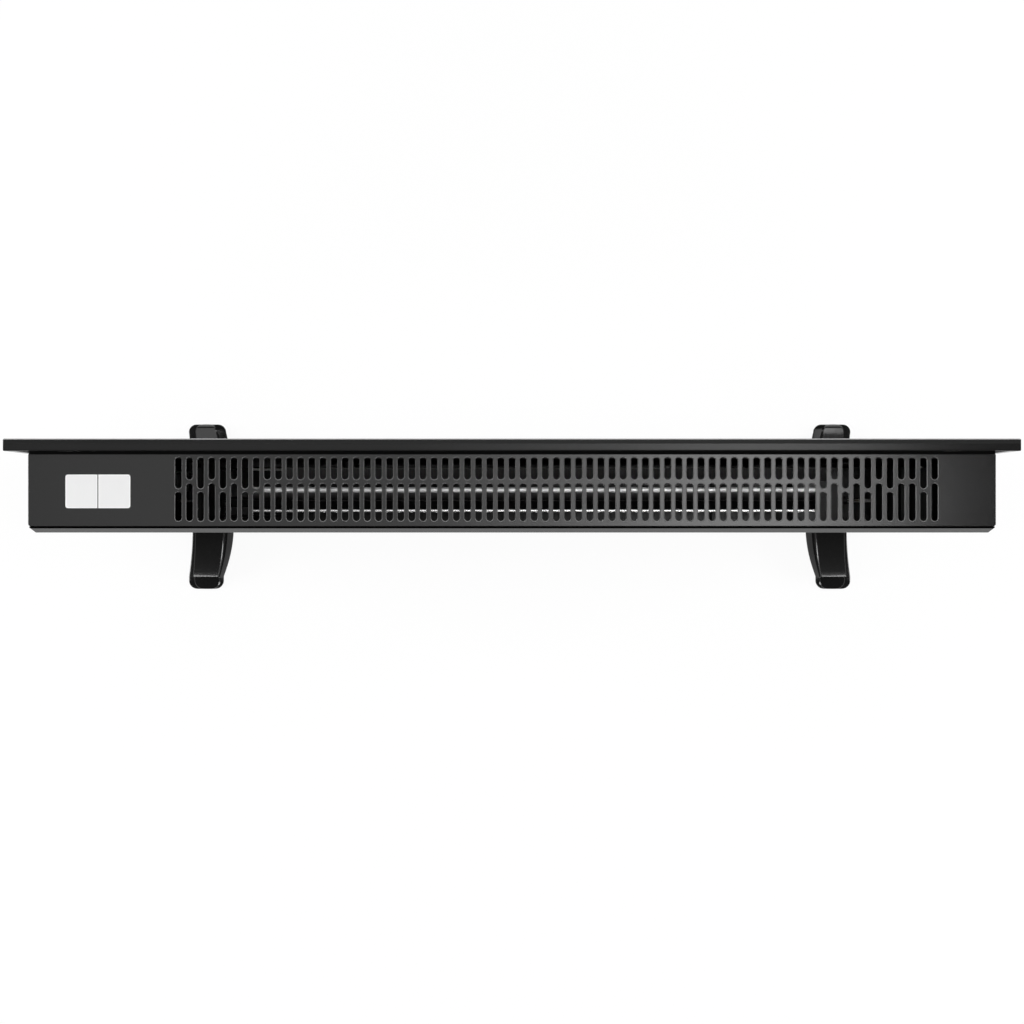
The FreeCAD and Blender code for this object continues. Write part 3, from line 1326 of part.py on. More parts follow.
NODES["foot_right"] = moved(foot(), foot_x_switch_side, 0, 0)
NODES["foot_left"] = moved(mirrored_x(foot()), foot_x_far_side, 0, 0)
foot_pads = []
for x in (foot_x_switch_side, foot_x_far_side):
    for y in pad_places:
        foot_pads.append(bar_z(PAD_RADIUS, x, y, 0, PAD_THICK))
NODES["foot_pads"] = group(foot_pads)
foot_shank = FOOT_SCREW_GRIP + SHELL_WALL + FOOT_NUT_HEIGHT + FOOT_SCREW_TAIL
foot_screw_size = (foot_shank, FOOT_SCREW_RADIUS, FOOT_SCREW_HEAD_RADIUS, FOOT_SCREW_HEAD)
NODES["foot_screws"] = group(
    [pan_screw((x, y, head_seat), (0, 0, 1), *foot_screw_size) for x, y in foot_screw_places]
)
foot_nuts = []
for x, y in foot_screw_places:
    top = inside_bottom + FOOT_NUT_HEIGHT
    nut = hexagon(FOOT_NUT_RADIUS, x, y, inside_bottom, top)
    foot_nuts.append(nut.cut(bar_z(FOOT_SCREW_RADIUS + SCREW_CLEARANCE, x, y, inside_bottom, top)))
NODES["foot_nuts"] = group(foot_nuts)

os.makedirs("parts", exist_ok=True)
for name, shape in NODES.items():
    shape.exportStep("parts/" + name + ".step")
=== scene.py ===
"""Looks of the glass panel heater: materials, feet, floor, light and the camera of the photograph."""
import json
import math
import bpy
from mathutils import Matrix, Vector


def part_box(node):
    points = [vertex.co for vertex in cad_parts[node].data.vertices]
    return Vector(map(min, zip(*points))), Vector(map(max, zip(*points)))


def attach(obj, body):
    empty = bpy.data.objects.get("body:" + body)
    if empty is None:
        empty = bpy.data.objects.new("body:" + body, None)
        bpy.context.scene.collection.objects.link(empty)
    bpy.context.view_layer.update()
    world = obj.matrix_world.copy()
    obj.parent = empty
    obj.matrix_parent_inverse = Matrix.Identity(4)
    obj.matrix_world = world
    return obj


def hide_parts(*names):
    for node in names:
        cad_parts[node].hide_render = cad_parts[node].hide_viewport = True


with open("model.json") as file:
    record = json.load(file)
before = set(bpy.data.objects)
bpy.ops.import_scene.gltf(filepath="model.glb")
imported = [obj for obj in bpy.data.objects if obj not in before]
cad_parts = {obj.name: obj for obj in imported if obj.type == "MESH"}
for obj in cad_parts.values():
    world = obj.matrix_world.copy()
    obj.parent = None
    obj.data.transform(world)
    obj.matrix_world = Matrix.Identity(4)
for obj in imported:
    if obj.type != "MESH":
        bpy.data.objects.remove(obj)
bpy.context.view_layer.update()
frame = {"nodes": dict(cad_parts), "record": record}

MM = 0.001

# Sockets of the node that mixes two colours
MIX_FACTOR = 0
MIX_FIRST = 6
MIX_SECOND = 7
MIX_RESULT = 2
# Factors that leave a colour or a coordinate as it is
EVEN = (1.0, 1.0, 1.0)
# Range that most of the noise lies in, and how far its finer steps go
TONE_RANGE = (0.35, 0.65)
FINE_DETAIL = 3.0
BROAD_DETAIL = 4.0
# Samples of softened edges, and the tone of what no light reaches
BEVEL_SAMPLES = 4
UNLIT_GREY = 0.001


# Node helpers
def add_node(tree, kind, **properties):
    """New shader node with some of its properties set."""
    node = tree.nodes.new(kind)
    for name, value in properties.items():
        setattr(node, name, value)
    return node


def put(tree, target, value):
    """Give an input socket either a link or a constant."""
    if isinstance(value, bpy.types.NodeSocket):
        tree.links.new(value, target)
    else:
        target.default_value = value


def object_coords(tree, stretch=EVEN):
    """The object's own coordinates in metres, stretched along its axes."""
    coords = add_node(tree, "ShaderNodeTexCoord")
    mapping = add_node(tree, "ShaderNodeMapping")
    mapping.inputs["Scale"].default_value = stretch
    tree.links.new(coords.outputs["Object"], mapping.inputs["Vector"])
    return mapping.outputs["Vector"]


def axes_of(tree, output):
    """The three parts of a coordinate: Object is a place in metres, Normal and Generated are directions."""
    coords = add_node(tree, "ShaderNodeTexCoord")
    split = add_node(tree, "ShaderNodeSeparateXYZ")
    tree.links.new(coords.outputs[output], split.inputs["Vector"])
    return split.outputs["X"], split.outputs["Y"], split.outputs["Z"]


def noise(tree, coords, scale, detail):
    """Smooth noise between 0 and 1 around a middle of about 0.5."""
    texture = add_node(tree, "ShaderNodeTexNoise")
    texture.inputs["Scale"].default_value = scale
    texture.inputs["Detail"].default_value = detail
    tree.links.new(coords, texture.inputs["Vector"])
    return texture.outputs["Fac"]


def remap(tree, value, old_range, new_range):
    """Value moved from one range to another, held at its ends."""
    node = add_node(tree, "ShaderNodeMapRange")
    put(tree, node.inputs["Value"], value)
    node.inputs["From Min"].default_value = old_range[0]
    node.inputs["From Max"].default_value = old_range[1]
    node.inputs["To Min"].default_value = new_range[0]
    node.inputs["To Max"].default_value = new_range[1]
    return node.outputs["Result"]


def math_node(tree, operation, first, second=0.0):
    """One arithmetic step."""
    node = add_node(tree, "ShaderNodeMath", operation=operation)
    put(tree, node.inputs[0], first)
    put(tree, node.inputs[1], second)
    return node.outputs["Value"]


def distance_from(tree, value, middle):
    """How far a value is from a middle."""
    return math_node(tree, "ABSOLUTE", math_node(tree, "SUBTRACT", value, middle))


def mix_colours(tree, factor, first, second):
    """Colour between two others."""
    node = add_node(tree, "ShaderNodeMix", data_type="RGBA")
    put(tree, node.inputs[MIX_FACTOR], factor)
    put(tree, node.inputs[MIX_FIRST], first)
    put(tree, node.inputs[MIX_SECOND], second)
    return node.outputs[MIX_RESULT]


def mix_shaders(tree, factor, first, second):
    """Surface that goes from one shader to another as a factor goes from 0 to 1."""
    mix = add_node(tree, "ShaderNodeMixShader")
    for socket, source in zip(mix.inputs, (factor, first, second)):
        tree.links.new(source, socket)
    tree.links.new(mix.outputs["Shader"], tree.nodes["Material Output"].inputs["Surface"])


def grey(value, tint=EVEN):
    """Opaque grey, or a tinted tone with a factor for each channel."""
    return (value * tint[0], value * tint[1], value * tint[2], 1.0)


def rounded_bump(tree, height, depth, edge):
    """Normal with softened edges and a fine relief; depth and edge are in metres."""
    relief = add_node(tree, "ShaderNodeBump")
    relief.inputs["Distance"].default_value = depth
    tree.links.new(height, relief.inputs["Height"])
    if edge > 0:
        bevel = add_node(tree, "ShaderNodeBevel", samples=BEVEL_SAMPLES)
        bevel.inputs["Radius"].default_value = edge
        tree.links.new(bevel.outputs["Normal"], relief.inputs["Normal"])
    return relief.outputs["Normal"]


# Material helpers
def new_material(name):
    """Material with nodes, and its node tree."""
    material = bpy.data.materials.new(name)
    material.use_nodes = True
    return material, material.node_tree


def surface(name, greys, roughness, grain, depth, tint=EVEN, edge=0.0, metallic=0.0, specular=0.5, patch=9.0,
            stretch=EVEN):
    """Material with patchy tone, patchy gloss and a fine grain.

    greys are its darker and lighter tone, roughness its range, grain the number of grains per
    metre and patch the number of uneven areas per metre. depth is the height of the relief and
    edge the width of the softened edges, both in millimetres.
    """
    material, tree = new_material(name)
    shader = tree.nodes["Principled BSDF"]
    fine = noise(tree, object_coords(tree, stretch), grain, FINE_DETAIL)
    broad = noise(tree, object_coords(tree), patch, BROAD_DETAIL)
    tone = math_node(tree, "MULTIPLY", math_node(tree, "ADD", fine, broad), 0.5)
    share = remap(tree, tone, TONE_RANGE, (0.0, 1.0))
    colour = mix_colours(tree, share, grey(greys[0], tint), grey(greys[1], tint))
    tree.links.new(colour, shader.inputs["Base Color"])
    tree.links.new(remap(tree, tone, TONE_RANGE, roughness), shader.inputs["Roughness"])
    tree.links.new(rounded_bump(tree, fine, depth * MM, edge * MM), shader.inputs["Normal"])
    shader.inputs["Metallic"].default_value = metallic
    shader.inputs["Specular IOR Level"].default_value = specular
    return material


def recolour(material, mask, colour):
    """Lay another colour over a material where a mask is 1."""
    tree = material.node_tree
    target = tree.nodes["Principled BSDF"].inputs["Base Color"]
    tree.links.new(mix_colours(tree, mask, target.links[0].from_socket, colour), target)


def coarsen(material, mask, roughness):
    """Give a material another roughness where a mask is 1."""
    tree = material.node_tree
    target = tree.nodes["Principled BSDF"].inputs["Roughness"]
    gap = math_node(tree, "SUBTRACT", roughness, target.links[0].from_socket)
    step = math_node(tree, "MULTIPLY", gap, mask)
    tree.links.new(math_node(tree, "ADD", target.links[0].from_socket, step), target)


def blacken(material, mask):
    """Paint shade: turn a material dull black, without any gloss, where a mask is 1."""
    tree = material.node_tree
    black = add_node(tree, "ShaderNodeBsdfPrincipled")
    black.inputs["Base Color"].default_value = grey(UNLIT_GREY)
    black.inputs["Roughness"].default_value = 1.0
    black.inputs["Specular IOR Level"].default_value = 0.0
    mix_shaders(tree, mask, tree.nodes["Principled BSDF"].outputs["BSDF"], black.outputs["BSDF"])


# Black glass, with rings printed over the touch pads
POLISHED_FACING = 0.9
ARRIS_FACING = 0.3
# Tone of the painted highlight on the arris
ARRIS_HIGHLIGHT_GREY = 0.3
FACE_BLACK = grey(0.004, (0.95, 1.0, 1.0))
PRINT_GREY = 0.16
SMEARS_PER_METRE = 6.0
SMEAR_RANGE = (0.3, 0.7)
FACE_ROUGHNESS = (0.02, 0.06)
RING_RADIUS = 4.6 * MM
RING_HALF_WIDTH = 0.35 * MM
PAD_RADIUS = 4.0 * MM
PAD_COUNT = 3


def touch_ring_mask(tree):
    """1 on the thin rings printed on the glass over the touch pads."""
    x, _, z = axes_of(tree, "Object")
    low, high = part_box("touch_pads")
    first = low[0] + PAD_RADIUS
    pitch = (high[0] - low[0] - 2 * PAD_RADIUS) / (PAD_COUNT - 1)
    across = math_node(tree, "SUBTRACT", z, (low[2] + high[2]) / 2)
    across_squared = math_node(tree, "POWER", across, 2.0)
    rings = 0.0
    for index in range(PAD_COUNT):
        along = math_node(tree, "SUBTRACT", x, first + index * pitch)
        squares = math_node(tree, "ADD", math_node(tree, "POWER", along, 2.0), across_squared)
        offset = distance_from(tree, math_node(tree, "SQRT", squares), RING_RADIUS)
        rings = math_node(tree, "ADD", rings, math_node(tree, "LESS_THAN", offset, RING_HALF_WIDTH))
    return rings


def black_glass():
    """Polished black faces with printed rings, ground dark edges and a painted highlight on the ground
    arris.
    """
    material = surface(
        "black_glass", greys=(0.010, 0.014), roughness=(0.36, 0.44), grain=2500.0, depth=0.02, specular=0.1,
    )
    tree = material.node_tree
    facing = math_node(tree, "ABSOLUTE", axes_of(tree, "Normal")[1])
    # Painted highlight on the arris
    recolour(material, math_node(tree, "GREATER_THAN", facing, ARRIS_FACING), grey(ARRIS_HIGHLIGHT_GREY))
    face_shader = add_node(tree, "ShaderNodeBsdfPrincipled")
    colour = mix_colours(tree, touch_ring_mask(tree), FACE_BLACK, grey(PRINT_GREY))
    tree.links.new(colour, face_shader.inputs["Base Color"])
    smear = noise(tree, object_coords(tree), SMEARS_PER_METRE, BROAD_DETAIL)
    tree.links.new(remap(tree, smear, SMEAR_RANGE, FACE_ROUGHNESS), face_shader.inputs["Roughness"])
    polished = math_node(tree, "GREATER_THAN", facing, POLISHED_FACING)
    mix_shaders(tree, polished, tree.nodes["Principled BSDF"].outputs["BSDF"], face_shader.outputs["BSDF"])
    return material


# Plastic of the body: its gloss on shell, cover and frame
SHELL_SPECULAR = 0.22
COVER_SPECULAR = 0.42
FRAME_SPECULAR = 0.1
# Width of the painted shade, unlit black, in the seam on the shell's edge and, from that edge, on the cover
SEAM_SHADE = 0.25 * MM
GROOVE_SHADE = 1.6 * MM
# Slot rims: the slants that count as rim, the turn from brightest to plain, and the plain and brightest tone
# of the painted highlight on them
RIM_FACING = (0.3, 0.95)
RIM_TURN = (-0.6, 0.2)
RIM_HIGHLIGHT_GREYS = (0.035, 0.22)
# Rounded edges of the panel's frame face along no axis; painted shade darkens them
FLAT_FACING = 0.98
FRAME_EDGE_SHADE_GREY = 0.002
FRAME_EDGE_ROUGHNESS = 0.6


def satin_plastic(name, specular):
    """Fine moulded texture of the body."""
    return surface(
        name, greys=(0.008, 0.011), roughness=(0.16, 0.20), grain=2200.0, depth=0.012, edge=0.3,
        specular=specular,
    )


def shell_plastic():
    """Body plastic with a painted highlight on its slot rims, brightest where they face the room, and
    painted shade, unlit black, in the seam.
    """
    material = satin_plastic("shell_plastic", SHELL_SPECULAR)
    tree = material.node_tree
    _, facing_back, facing_up = axes_of(tree, "Normal")
    # Painted highlight on the slot rims, brightest where they face the room
    above = math_node(tree, "GREATER_THAN", facing_up, RIM_FACING[0])
    rim = math_node(tree, "MULTIPLY", above, math_node(tree, "LESS_THAN", facing_up, RIM_FACING[1]))
    rim_highlight = remap(tree, facing_back, RIM_TURN, (1.0, 0.0))
    recolour(material, rim, mix_colours(tree, rim_highlight, grey(RIM_HIGHLIGHT_GREYS[0]), grey(RIM_HIGHLIGHT_GREYS[1])))
    # Painted shade: the shell's rear edge at the seam is unlit black
    seam_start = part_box("body_shell")[1][1] - SEAM_SHADE
    blacken(material, math_node(tree, "GREATER_THAN", axes_of(tree, "Object")[1], seam_start))
    return material


def cover_plastic():
    """Body plastic whose groove towards the shell is unlit black."""
    material = satin_plastic("cover_plastic", COVER_SPECULAR)
    tree = material.node_tree
    # Painted shade: the cover's groove towards the shell is unlit black
    groove_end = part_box("body_shell")[1][1] + GROOVE_SHADE
    blacken(material, math_node(tree, "LESS_THAN", axes_of(tree, "Object")[1], groove_end))
    return material


def frame_plastic():
    """Body plastic with painted shade on its rounded edges."""
    material = satin_plastic("frame_plastic", FRAME_SPECULAR)
    tree = material.node_tree
    parts = [math_node(tree, "ABSOLUTE", part) for part in axes_of(tree, "Normal")]
    most = math_node(tree, "MAXIMUM", math_node(tree, "MAXIMUM", parts[0], parts[1]), parts[2])
    rounded = math_node(tree, "LESS_THAN", most, FLAT_FACING)
    # Painted shade on the rounded edges
    recolour(material, rounded, grey(FRAME_EDGE_SHADE_GREY))
    coarsen(material, rounded, FRAME_EDGE_ROUGHNESS)
    return material


# Side walls of the feet: how far sideways they face, and how strongly painted shade darkens them
WALL_FACING = 0.9
WALL_SHADE_STRENGTH = 0.85


def foot_plastic():
    """Glossy black moulding with painted shade on its side walls."""
    material = surface(
        "foot_plastic", greys=(0.005, 0.007), roughness=(0.12, 0.17), grain=900.0, depth=0.005, specular=0.4,
    )
    tree = material.node_tree
    sideways = math_node(tree, "ABSOLUTE", axes_of(tree, "Normal")[0])
    walls = math_node(tree, "GREATER_THAN", sideways, WALL_FACING)
    # Painted shade: the side walls turn dull black
    blacken(material, math_node(tree, "MULTIPLY", walls, WALL_SHADE_STRENGTH))
    return material


# Pieces seen through the slots; heights on the element are from its middle, up or down
BRUSHED = (1.0, 18.0, 18.0)
ARM_HEIGHTS = (6.0 * MM, 27.5 * MM)
TIP_HEIGHTS = (27.5 * MM, 29.5 * MM)
# Tone of the painted light up the front arms
ARM_LIGHT_GREY = 0.9
TIP_GREY = 0.85
FRONT_TIP_ROUGHNESS = 0.37
REAR_TIP_ROUGHNESS = 0.25
# Upper edge of the shield: how far up it faces, and the tone of the painted shade on it
SHIELD_EDGE_FACING = 0.8
SHIELD_EDGE_SHADE_GREY = 0.01
SLEEVE_START = 229.0 * MM
SLEEVE_GREY = 0.006


def element_aluminium():
    """Extrusion that is dark but for its pale metal tips, with painted light up its front arms."""
    material = surface(
        "element_aluminium", greys=(0.05, 0.06), roughness=(0.65, 0.75), grain=40.0, depth=0.001,
        metallic=1.0, stretch=BRUSHED,
    )
    tree = material.node_tree
    low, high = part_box("element_profile")
    _, y, z = axes_of(tree, "Object")
    height = distance_from(tree, z, (low[2] + high[2]) / 2)
    front = math_node(tree, "LESS_THAN", y, (low[1] + high[1]) / 2)
    # Painted light up the front arms, paler towards their tips
    painted_arm_light = math_node(tree, "MULTIPLY", front, remap(tree, height, ARM_HEIGHTS, (0.0, 1.0)))
    recolour(material, painted_arm_light, grey(ARM_LIGHT_GREY))
    tip = remap(tree, height, TIP_HEIGHTS, (0.0, 1.0))
    recolour(material, tip, grey(TIP_GREY))
    coarsen(material, tip, remap(tree, front, (0.0, 1.0), (REAR_TIP_ROUGHNESS, FRONT_TIP_ROUGHNESS)))
    return material


def shield_sheet():
    """Coated sheet with painted shade on its upper edge."""
    material = surface(
        "shield_sheet", greys=(0.34, 0.40), roughness=(0.45, 0.6), grain=800.0, depth=0.01, specular=0.3,
    )
    tree = material.node_tree
    # Painted shade on faces that look up
    edge = math_node(tree, "GREATER_THAN", axes_of(tree, "Normal")[2], SHIELD_EDGE_FACING)
    recolour(material, edge, grey(SHIELD_EDGE_SHADE_GREY))
    return material


def sleeved_lead():
    """Pale silicone lead in a black sleeve near the partition and behind the element's middle."""
    material = surface(
        "sleeved_lead", greys=(0.5, 0.6), roughness=(0.4, 0.55), grain=700.0, depth=0.01, specular=0.2,
    )
    tree = material.node_tree
    x, y, _ = axes_of(tree, "Object")
    low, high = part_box("element_profile")
    near = math_node(tree, "GREATER_THAN", x, SLEEVE_START)
    behind = math_node(tree, "GREATER_THAN", y, (low[1] + high[1]) / 2)
    recolour(material, math_node(tree, "MAXIMUM", near, behind), grey(SLEEVE_GREY))
    return material


# Sticker: border of its two fields and the gap between them
STICKER_BORDER = 0.9 * MM
STICKER_GAP = 0.8 * MM
BORDER_GREY = 0.9


def sticker_paper():
    """Blank sticker in two fields, each with a slightly whiter border."""
    material = surface(
        "sticker_paper", greys=(0.80, 0.83), roughness=(0.5, 0.6), grain=1800.0, depth=0.01, specular=0.3,
    )
    tree = material.node_tree
    low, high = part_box("blank_label")
    x, y, _ = axes_of(tree, "Object")
    along = distance_from(tree, x, (low[0] + high[0]) / 2)
    across = distance_from(tree, y, (low[1] + high[1]) / 2)
    outer = math_node(tree, "GREATER_THAN", along, (high[0] - low[0]) / 2 - STICKER_BORDER)
    inner = math_node(tree, "LESS_THAN", along, STICKER_GAP / 2 + STICKER_BORDER)
    sides = math_node(tree, "GREATER_THAN", across, (high[1] - low[1]) / 2 - STICKER_BORDER)
    border = math_node(tree, "MAXIMUM", math_node(tree, "MAXIMUM", outer, inner), sides)
    recolour(material, border, grey(BORDER_GREY))
    return material


# Finishes that are the same all over a piece
BROWN = (1.0, 0.76, 0.6)
BRASS = (1.0, 0.79, 0.41)
GREEN = (0.25, 1.0, 0.42)
PLAIN_FINISHES = {
    "rocker_plastic": dict(
        greys=(0.014, 0.018), roughness=(0.2, 0.28), grain=1500.0, depth=0.01, edge=0.4,
    ),
    "inner_plastic": dict(
        greys=(0.04, 0.055), roughness=(0.45, 0.6), grain=1500.0, depth=0.02, edge=0.3,
    ),
    "component_plastic": dict(
        greys=(0.03, 0.045), roughness=(0.35, 0.5), grain=1600.0, depth=0.02, edge=0.3,
    ),
    # Black coating, made darker still as painted shade inside the body
    "coated_sheet": dict(
        greys=(0.005, 0.007), roughness=(0.6, 0.75), grain=1200.0, depth=0.02, specular=0.1,
    ),
    # Sheet made dark as painted shade where it stands inside the body
    "bracket_sheet": dict(
        greys=(0.05, 0.07), roughness=(0.4, 0.5), grain=800.0, depth=0.01, specular=0.3,
    ),
    "core_steel": dict(
        greys=(0.03, 0.045), roughness=(0.5, 0.6), grain=100.0, depth=0.01, metallic=1.0, stretch=BRUSHED,
    ),
    # Black-plated steel, made dark as painted shade inside the body so that it shows no glint
    "steel_in_painted_shade": dict(
        greys=(0.03, 0.045), roughness=(0.5, 0.6), grain=900.0, depth=0.01, metallic=1.0,
    ),
    "fastener_steel": dict(
        greys=(0.45, 0.56), roughness=(0.25, 0.4), grain=900.0, depth=0.01, edge=0.2, metallic=1.0,
    ),
    "terminal_brass": dict(
        greys=(0.62, 0.72), tint=BRASS, roughness=(0.25, 0.38), grain=700.0, depth=0.01, metallic=1.0,
    ),
    # Brass made dark as painted shade inside the body so that the terminals show no glint
    "brass_in_painted_shade": dict(
        greys=(0.05, 0.08), tint=BRASS, roughness=(0.5, 0.6), grain=700.0, depth=0.01, metallic=1.0,
    ),
    # Ceramic made dark as painted shade inside the body
    "dark_ceramic": dict(
        greys=(0.04, 0.055), tint=BROWN, roughness=(0.3, 0.42), grain=1800.0, depth=0.02, edge=0.3,
        specular=0.3,
    ),
    # Green laminate, made dark as painted shade inside the body
    "board_laminate": dict(
        greys=(0.02, 0.03), tint=GREEN, roughness=(0.3, 0.45), grain=500.0, depth=0.02, patch=120.0,
    ),
    "pad_rubber": dict(
        greys=(0.02, 0.03), roughness=(0.6, 0.75), grain=1400.0, depth=0.03, edge=0.4, specular=0.3,
    ),
    "tape_rubber": dict(
        greys=(0.002, 0.004), roughness=(0.8, 0.95), grain=2600.0, depth=0.05, specular=0.05,
    ),
    "lead_rubber": dict(
        greys=(0.30, 0.38), roughness=(0.4, 0.55), grain=700.0, depth=0.01, specular=0.4,
    ),
}
MATERIALS = {name: surface(name, **finish) for name, finish in PLAIN_FINISHES.items()}
MATERIALS["body_plastic"] = satin_plastic("body_plastic", SHELL_SPECULAR)
for make_material in (
    black_glass, shell_plastic, cover_plastic, frame_plastic, foot_plastic, element_aluminium, shield_sheet,
    sleeved_lead, sticker_paper,
):
    MATERIALS[make_material.__name__] = make_material()

# Every carried-over node has the finish that its slot in the record names, or one of its own
OWN_FINISHES = {
    "body_shell": "shell_plastic",
    "rear_cover": "cover_plastic",
    "panel_frame": "frame_plastic",
    "fuse_leads": "sleeved_lead",
    "element_bracket": "bracket_sheet",
    "element_terminals": "brass_in_painted_shade",
    "shield_standoffs": "steel_in_painted_shade",
    "shield_screws": "steel_in_painted_shade",
    "board_screws": "steel_in_painted_shade",
    "bracket_screws": "steel_in_painted_shade",
    "thermal_fuse": "steel_in_painted_shade",
}
for part in frame["record"]["subparts"]:
    node_object = frame["nodes"][part["node"]]
    finish_name = OWN_FINISHES.get(part["node"], part["material_slot"])
    node_object.data.materials.clear()
    node_object.data.materials.append(MATERIALS[finish_name])


# Feet: smooth mouldings in place of the plain solids, in millimetres
FOOT_RIGHT_X = 298.0
FOOT_LEFT_X = -313.0
# Height of the underside, rounding of the base, swell of the walls, and the steps that draw curves
FOOT_FLOOR = 1.5
FLOOR_ROUND = 0.8
ROUND_STEPS = 6
ARC_STEPS = 9
WALL_BULGE = 0.05
BULGE_STEPS = 5
SHARP_DEGREES = 12
# Chamfers along the top edges: width and drop
INNER_CHAMFER = (1.3, 0.8)
CHAMFER_AT_BODY = 0.45
OUTER_CHAMFER = (0.7, 0.5)
# Base under the walls: height of its ledges at the walls and at the rim, least step between heights
TOE_LEDGE = 6.2
INNER_LEDGE = 9.0
OUTER_LEDGE = 6.0
LEDGE_RIM = 4.5
LEDGE_STEP = 0.4
# Places across a foot: floor inner, floor outer, top inner, top outer
TOE_EDGES = (-17.7, 18.5, -10.0, 10.9)
MIDDLE_EDGES = (-25.3, 14.8, -20.2, 7.5)
TAIL_EDGES = (-15.5, 18.3, -12.6, 12.6)
# Toe: its end, the fall of its front edge and the length of that fall, its corners in plan, its height
TOE_END = -80.5
TOE_ROUND = 5.0
TOE_FRONT = 3.5
TOE_CORNER = 7.5
TOE_HEIGHT = 14.0
# Tail: its end, its corners in plan, and the low lip behind its face
TAIL_END = 80.5
TAIL_ROUND = 8.0
TAIL_FACE = 69.4
TAIL_FACE_HEIGHT = 8.6
TAIL_TIP_HEIGHT = 4.6
# Along a foot between its ends: y, height, share of that end's edges
FOOT_MIDDLE = [
    (-70.0, 14.1, 0.9), (-64.0, 14.5, 0.75), (-57.0, 18.0, 0.6), (-50.0, 25.5, 0.35), (-44.0, 32.0, 0.15),
    (-40.0, 38.5, 0.04), (-38.0, 44.9, 0.0), (0.0, 44.9, 0.0), (17.0, 44.9, 0.0), (22.0, 43.8, 0.01),
    (28.0, 42.0, 0.04), (34.0, 39.8, 0.1), (40.0, 37.0, 0.19), (46.0, 34.0, 0.31), (52.0, 30.6, 0.46),
    (58.0, 27.0, 0.64), (63.0, 23.8, 0.81), (67.2, 21.1, 0.96), (68.3, 20.1, 1.0),
]


def foot_stations():
    """Places along a foot: y, height, share of the end's edges, narrowing of its corners."""
    stations = []
    for step in range(ARC_STEPS, -1, -1):
        turn = math.pi / 2 * step / ARC_STEPS
        y = TOE_END + TOE_CORNER * (1 - math.sin(turn))
        fall = TOE_ROUND * max(0.0, 1 - (y - TOE_END) / TOE_FRONT) ** 2
        stations.append((y, TOE_HEIGHT - fall, 1.0, TOE_CORNER * (1 - math.cos(turn))))
    stations += [(y, height, share, 0.0) for y, height, share in FOOT_MIDDLE]
    stations.append((TAIL_FACE, TAIL_FACE_HEIGHT, 1.0, 0.0))
    slope = (TAIL_FACE_HEIGHT - TAIL_TIP_HEIGHT) / (TAIL_END - TAIL_FACE)
    for step in range(ARC_STEPS + 1):
        turn = math.pi / 2 * step / ARC_STEPS
        y = TAIL_END - TAIL_ROUND * (1 - math.sin(turn))
        height = TAIL_FACE_HEIGHT - slope * (y - TAIL_FACE)
        stations.append((y, height, 1.0, TAIL_ROUND * (1 - math.cos(turn))))
    return stations


def rounded_corner(before, corner, after, radius):
    """Points of a smooth curve that cuts one corner of an outline."""
    first = corner + (before - corner).normalized() * radius
    last = corner + (after - corner).normalized() * radius
    points = []
    for step in range(ROUND_STEPS + 1):
        share = step / ROUND_STEPS
        points.append(first.lerp(corner, share).lerp(corner.lerp(last, share), share))
    return points


def bulged(start, end):
    """Inner points of a wall that swells slightly to the right of its direction, most in its middle."""
    along = end - start
    outward = Vector((along.y, -along.x)).normalized()
    points = []
    for step in range(1, BULGE_STEPS):
        share = step / BULGE_STEPS
        points.append(start + along * share + outward * WALL_BULGE * 4 * share * (1 - share))
    return points


def foot_outline(y, height, share, narrowing):
    """Outline across a foot at one place along it: base with ledges, steep walls, chamfered top edges."""
    ends = TOE_EDGES if y < 0 else TAIL_EDGES
    edges = [middle + share * (end - middle) for middle, end in zip(MIDDLE_EDGES, ends)]
    floor_in = Vector((edges[0] + narrowing, FOOT_FLOOR))
    floor_out = Vector((edges[1] - narrowing, FOOT_FLOOR))
    top_in = edges[2] + narrowing
    top_out = edges[3] - narrowing
    chamfer = CHAMFER_AT_BODY + (1 - CHAMFER_AT_BODY) * share
    wall_in = Vector((top_in, height - chamfer * INNER_CHAMFER[1]))
    wall_out = Vector((top_out, height - OUTER_CHAMFER[1]))
    inner_height = min(TOE_LEDGE if y < 0 else INNER_LEDGE, wall_in.y - LEDGE_STEP)
    outer_height = min(OUTER_LEDGE, inner_height)
    rim_height = min(LEDGE_RIM, outer_height - LEDGE_STEP)
    ledge_in = Vector((top_in, inner_height))
    ledge_out = Vector((top_out, outer_height))
    rim_in = rounded_corner(ledge_in, Vector((floor_in.x, rim_height)), floor_in, FLOOR_ROUND)
    rim_out = rounded_corner(floor_out, Vector((floor_out.x, rim_height)), ledge_out, FLOOR_ROUND)
    outline = [floor_in, floor_out] + rim_out + [ledge_out] + bulged(ledge_out, wall_out) + [wall_out]
    outline.append(Vector((top_out - OUTER_CHAMFER[0], height)))
    outline.append(Vector((top_in + chamfer * INNER_CHAMFER[0], height)))
    outline += [wall_in] + bulged(wall_in, ledge_in) + [ledge_in] + rim_in
    return [(point.x, y, point.y) for point in outline]


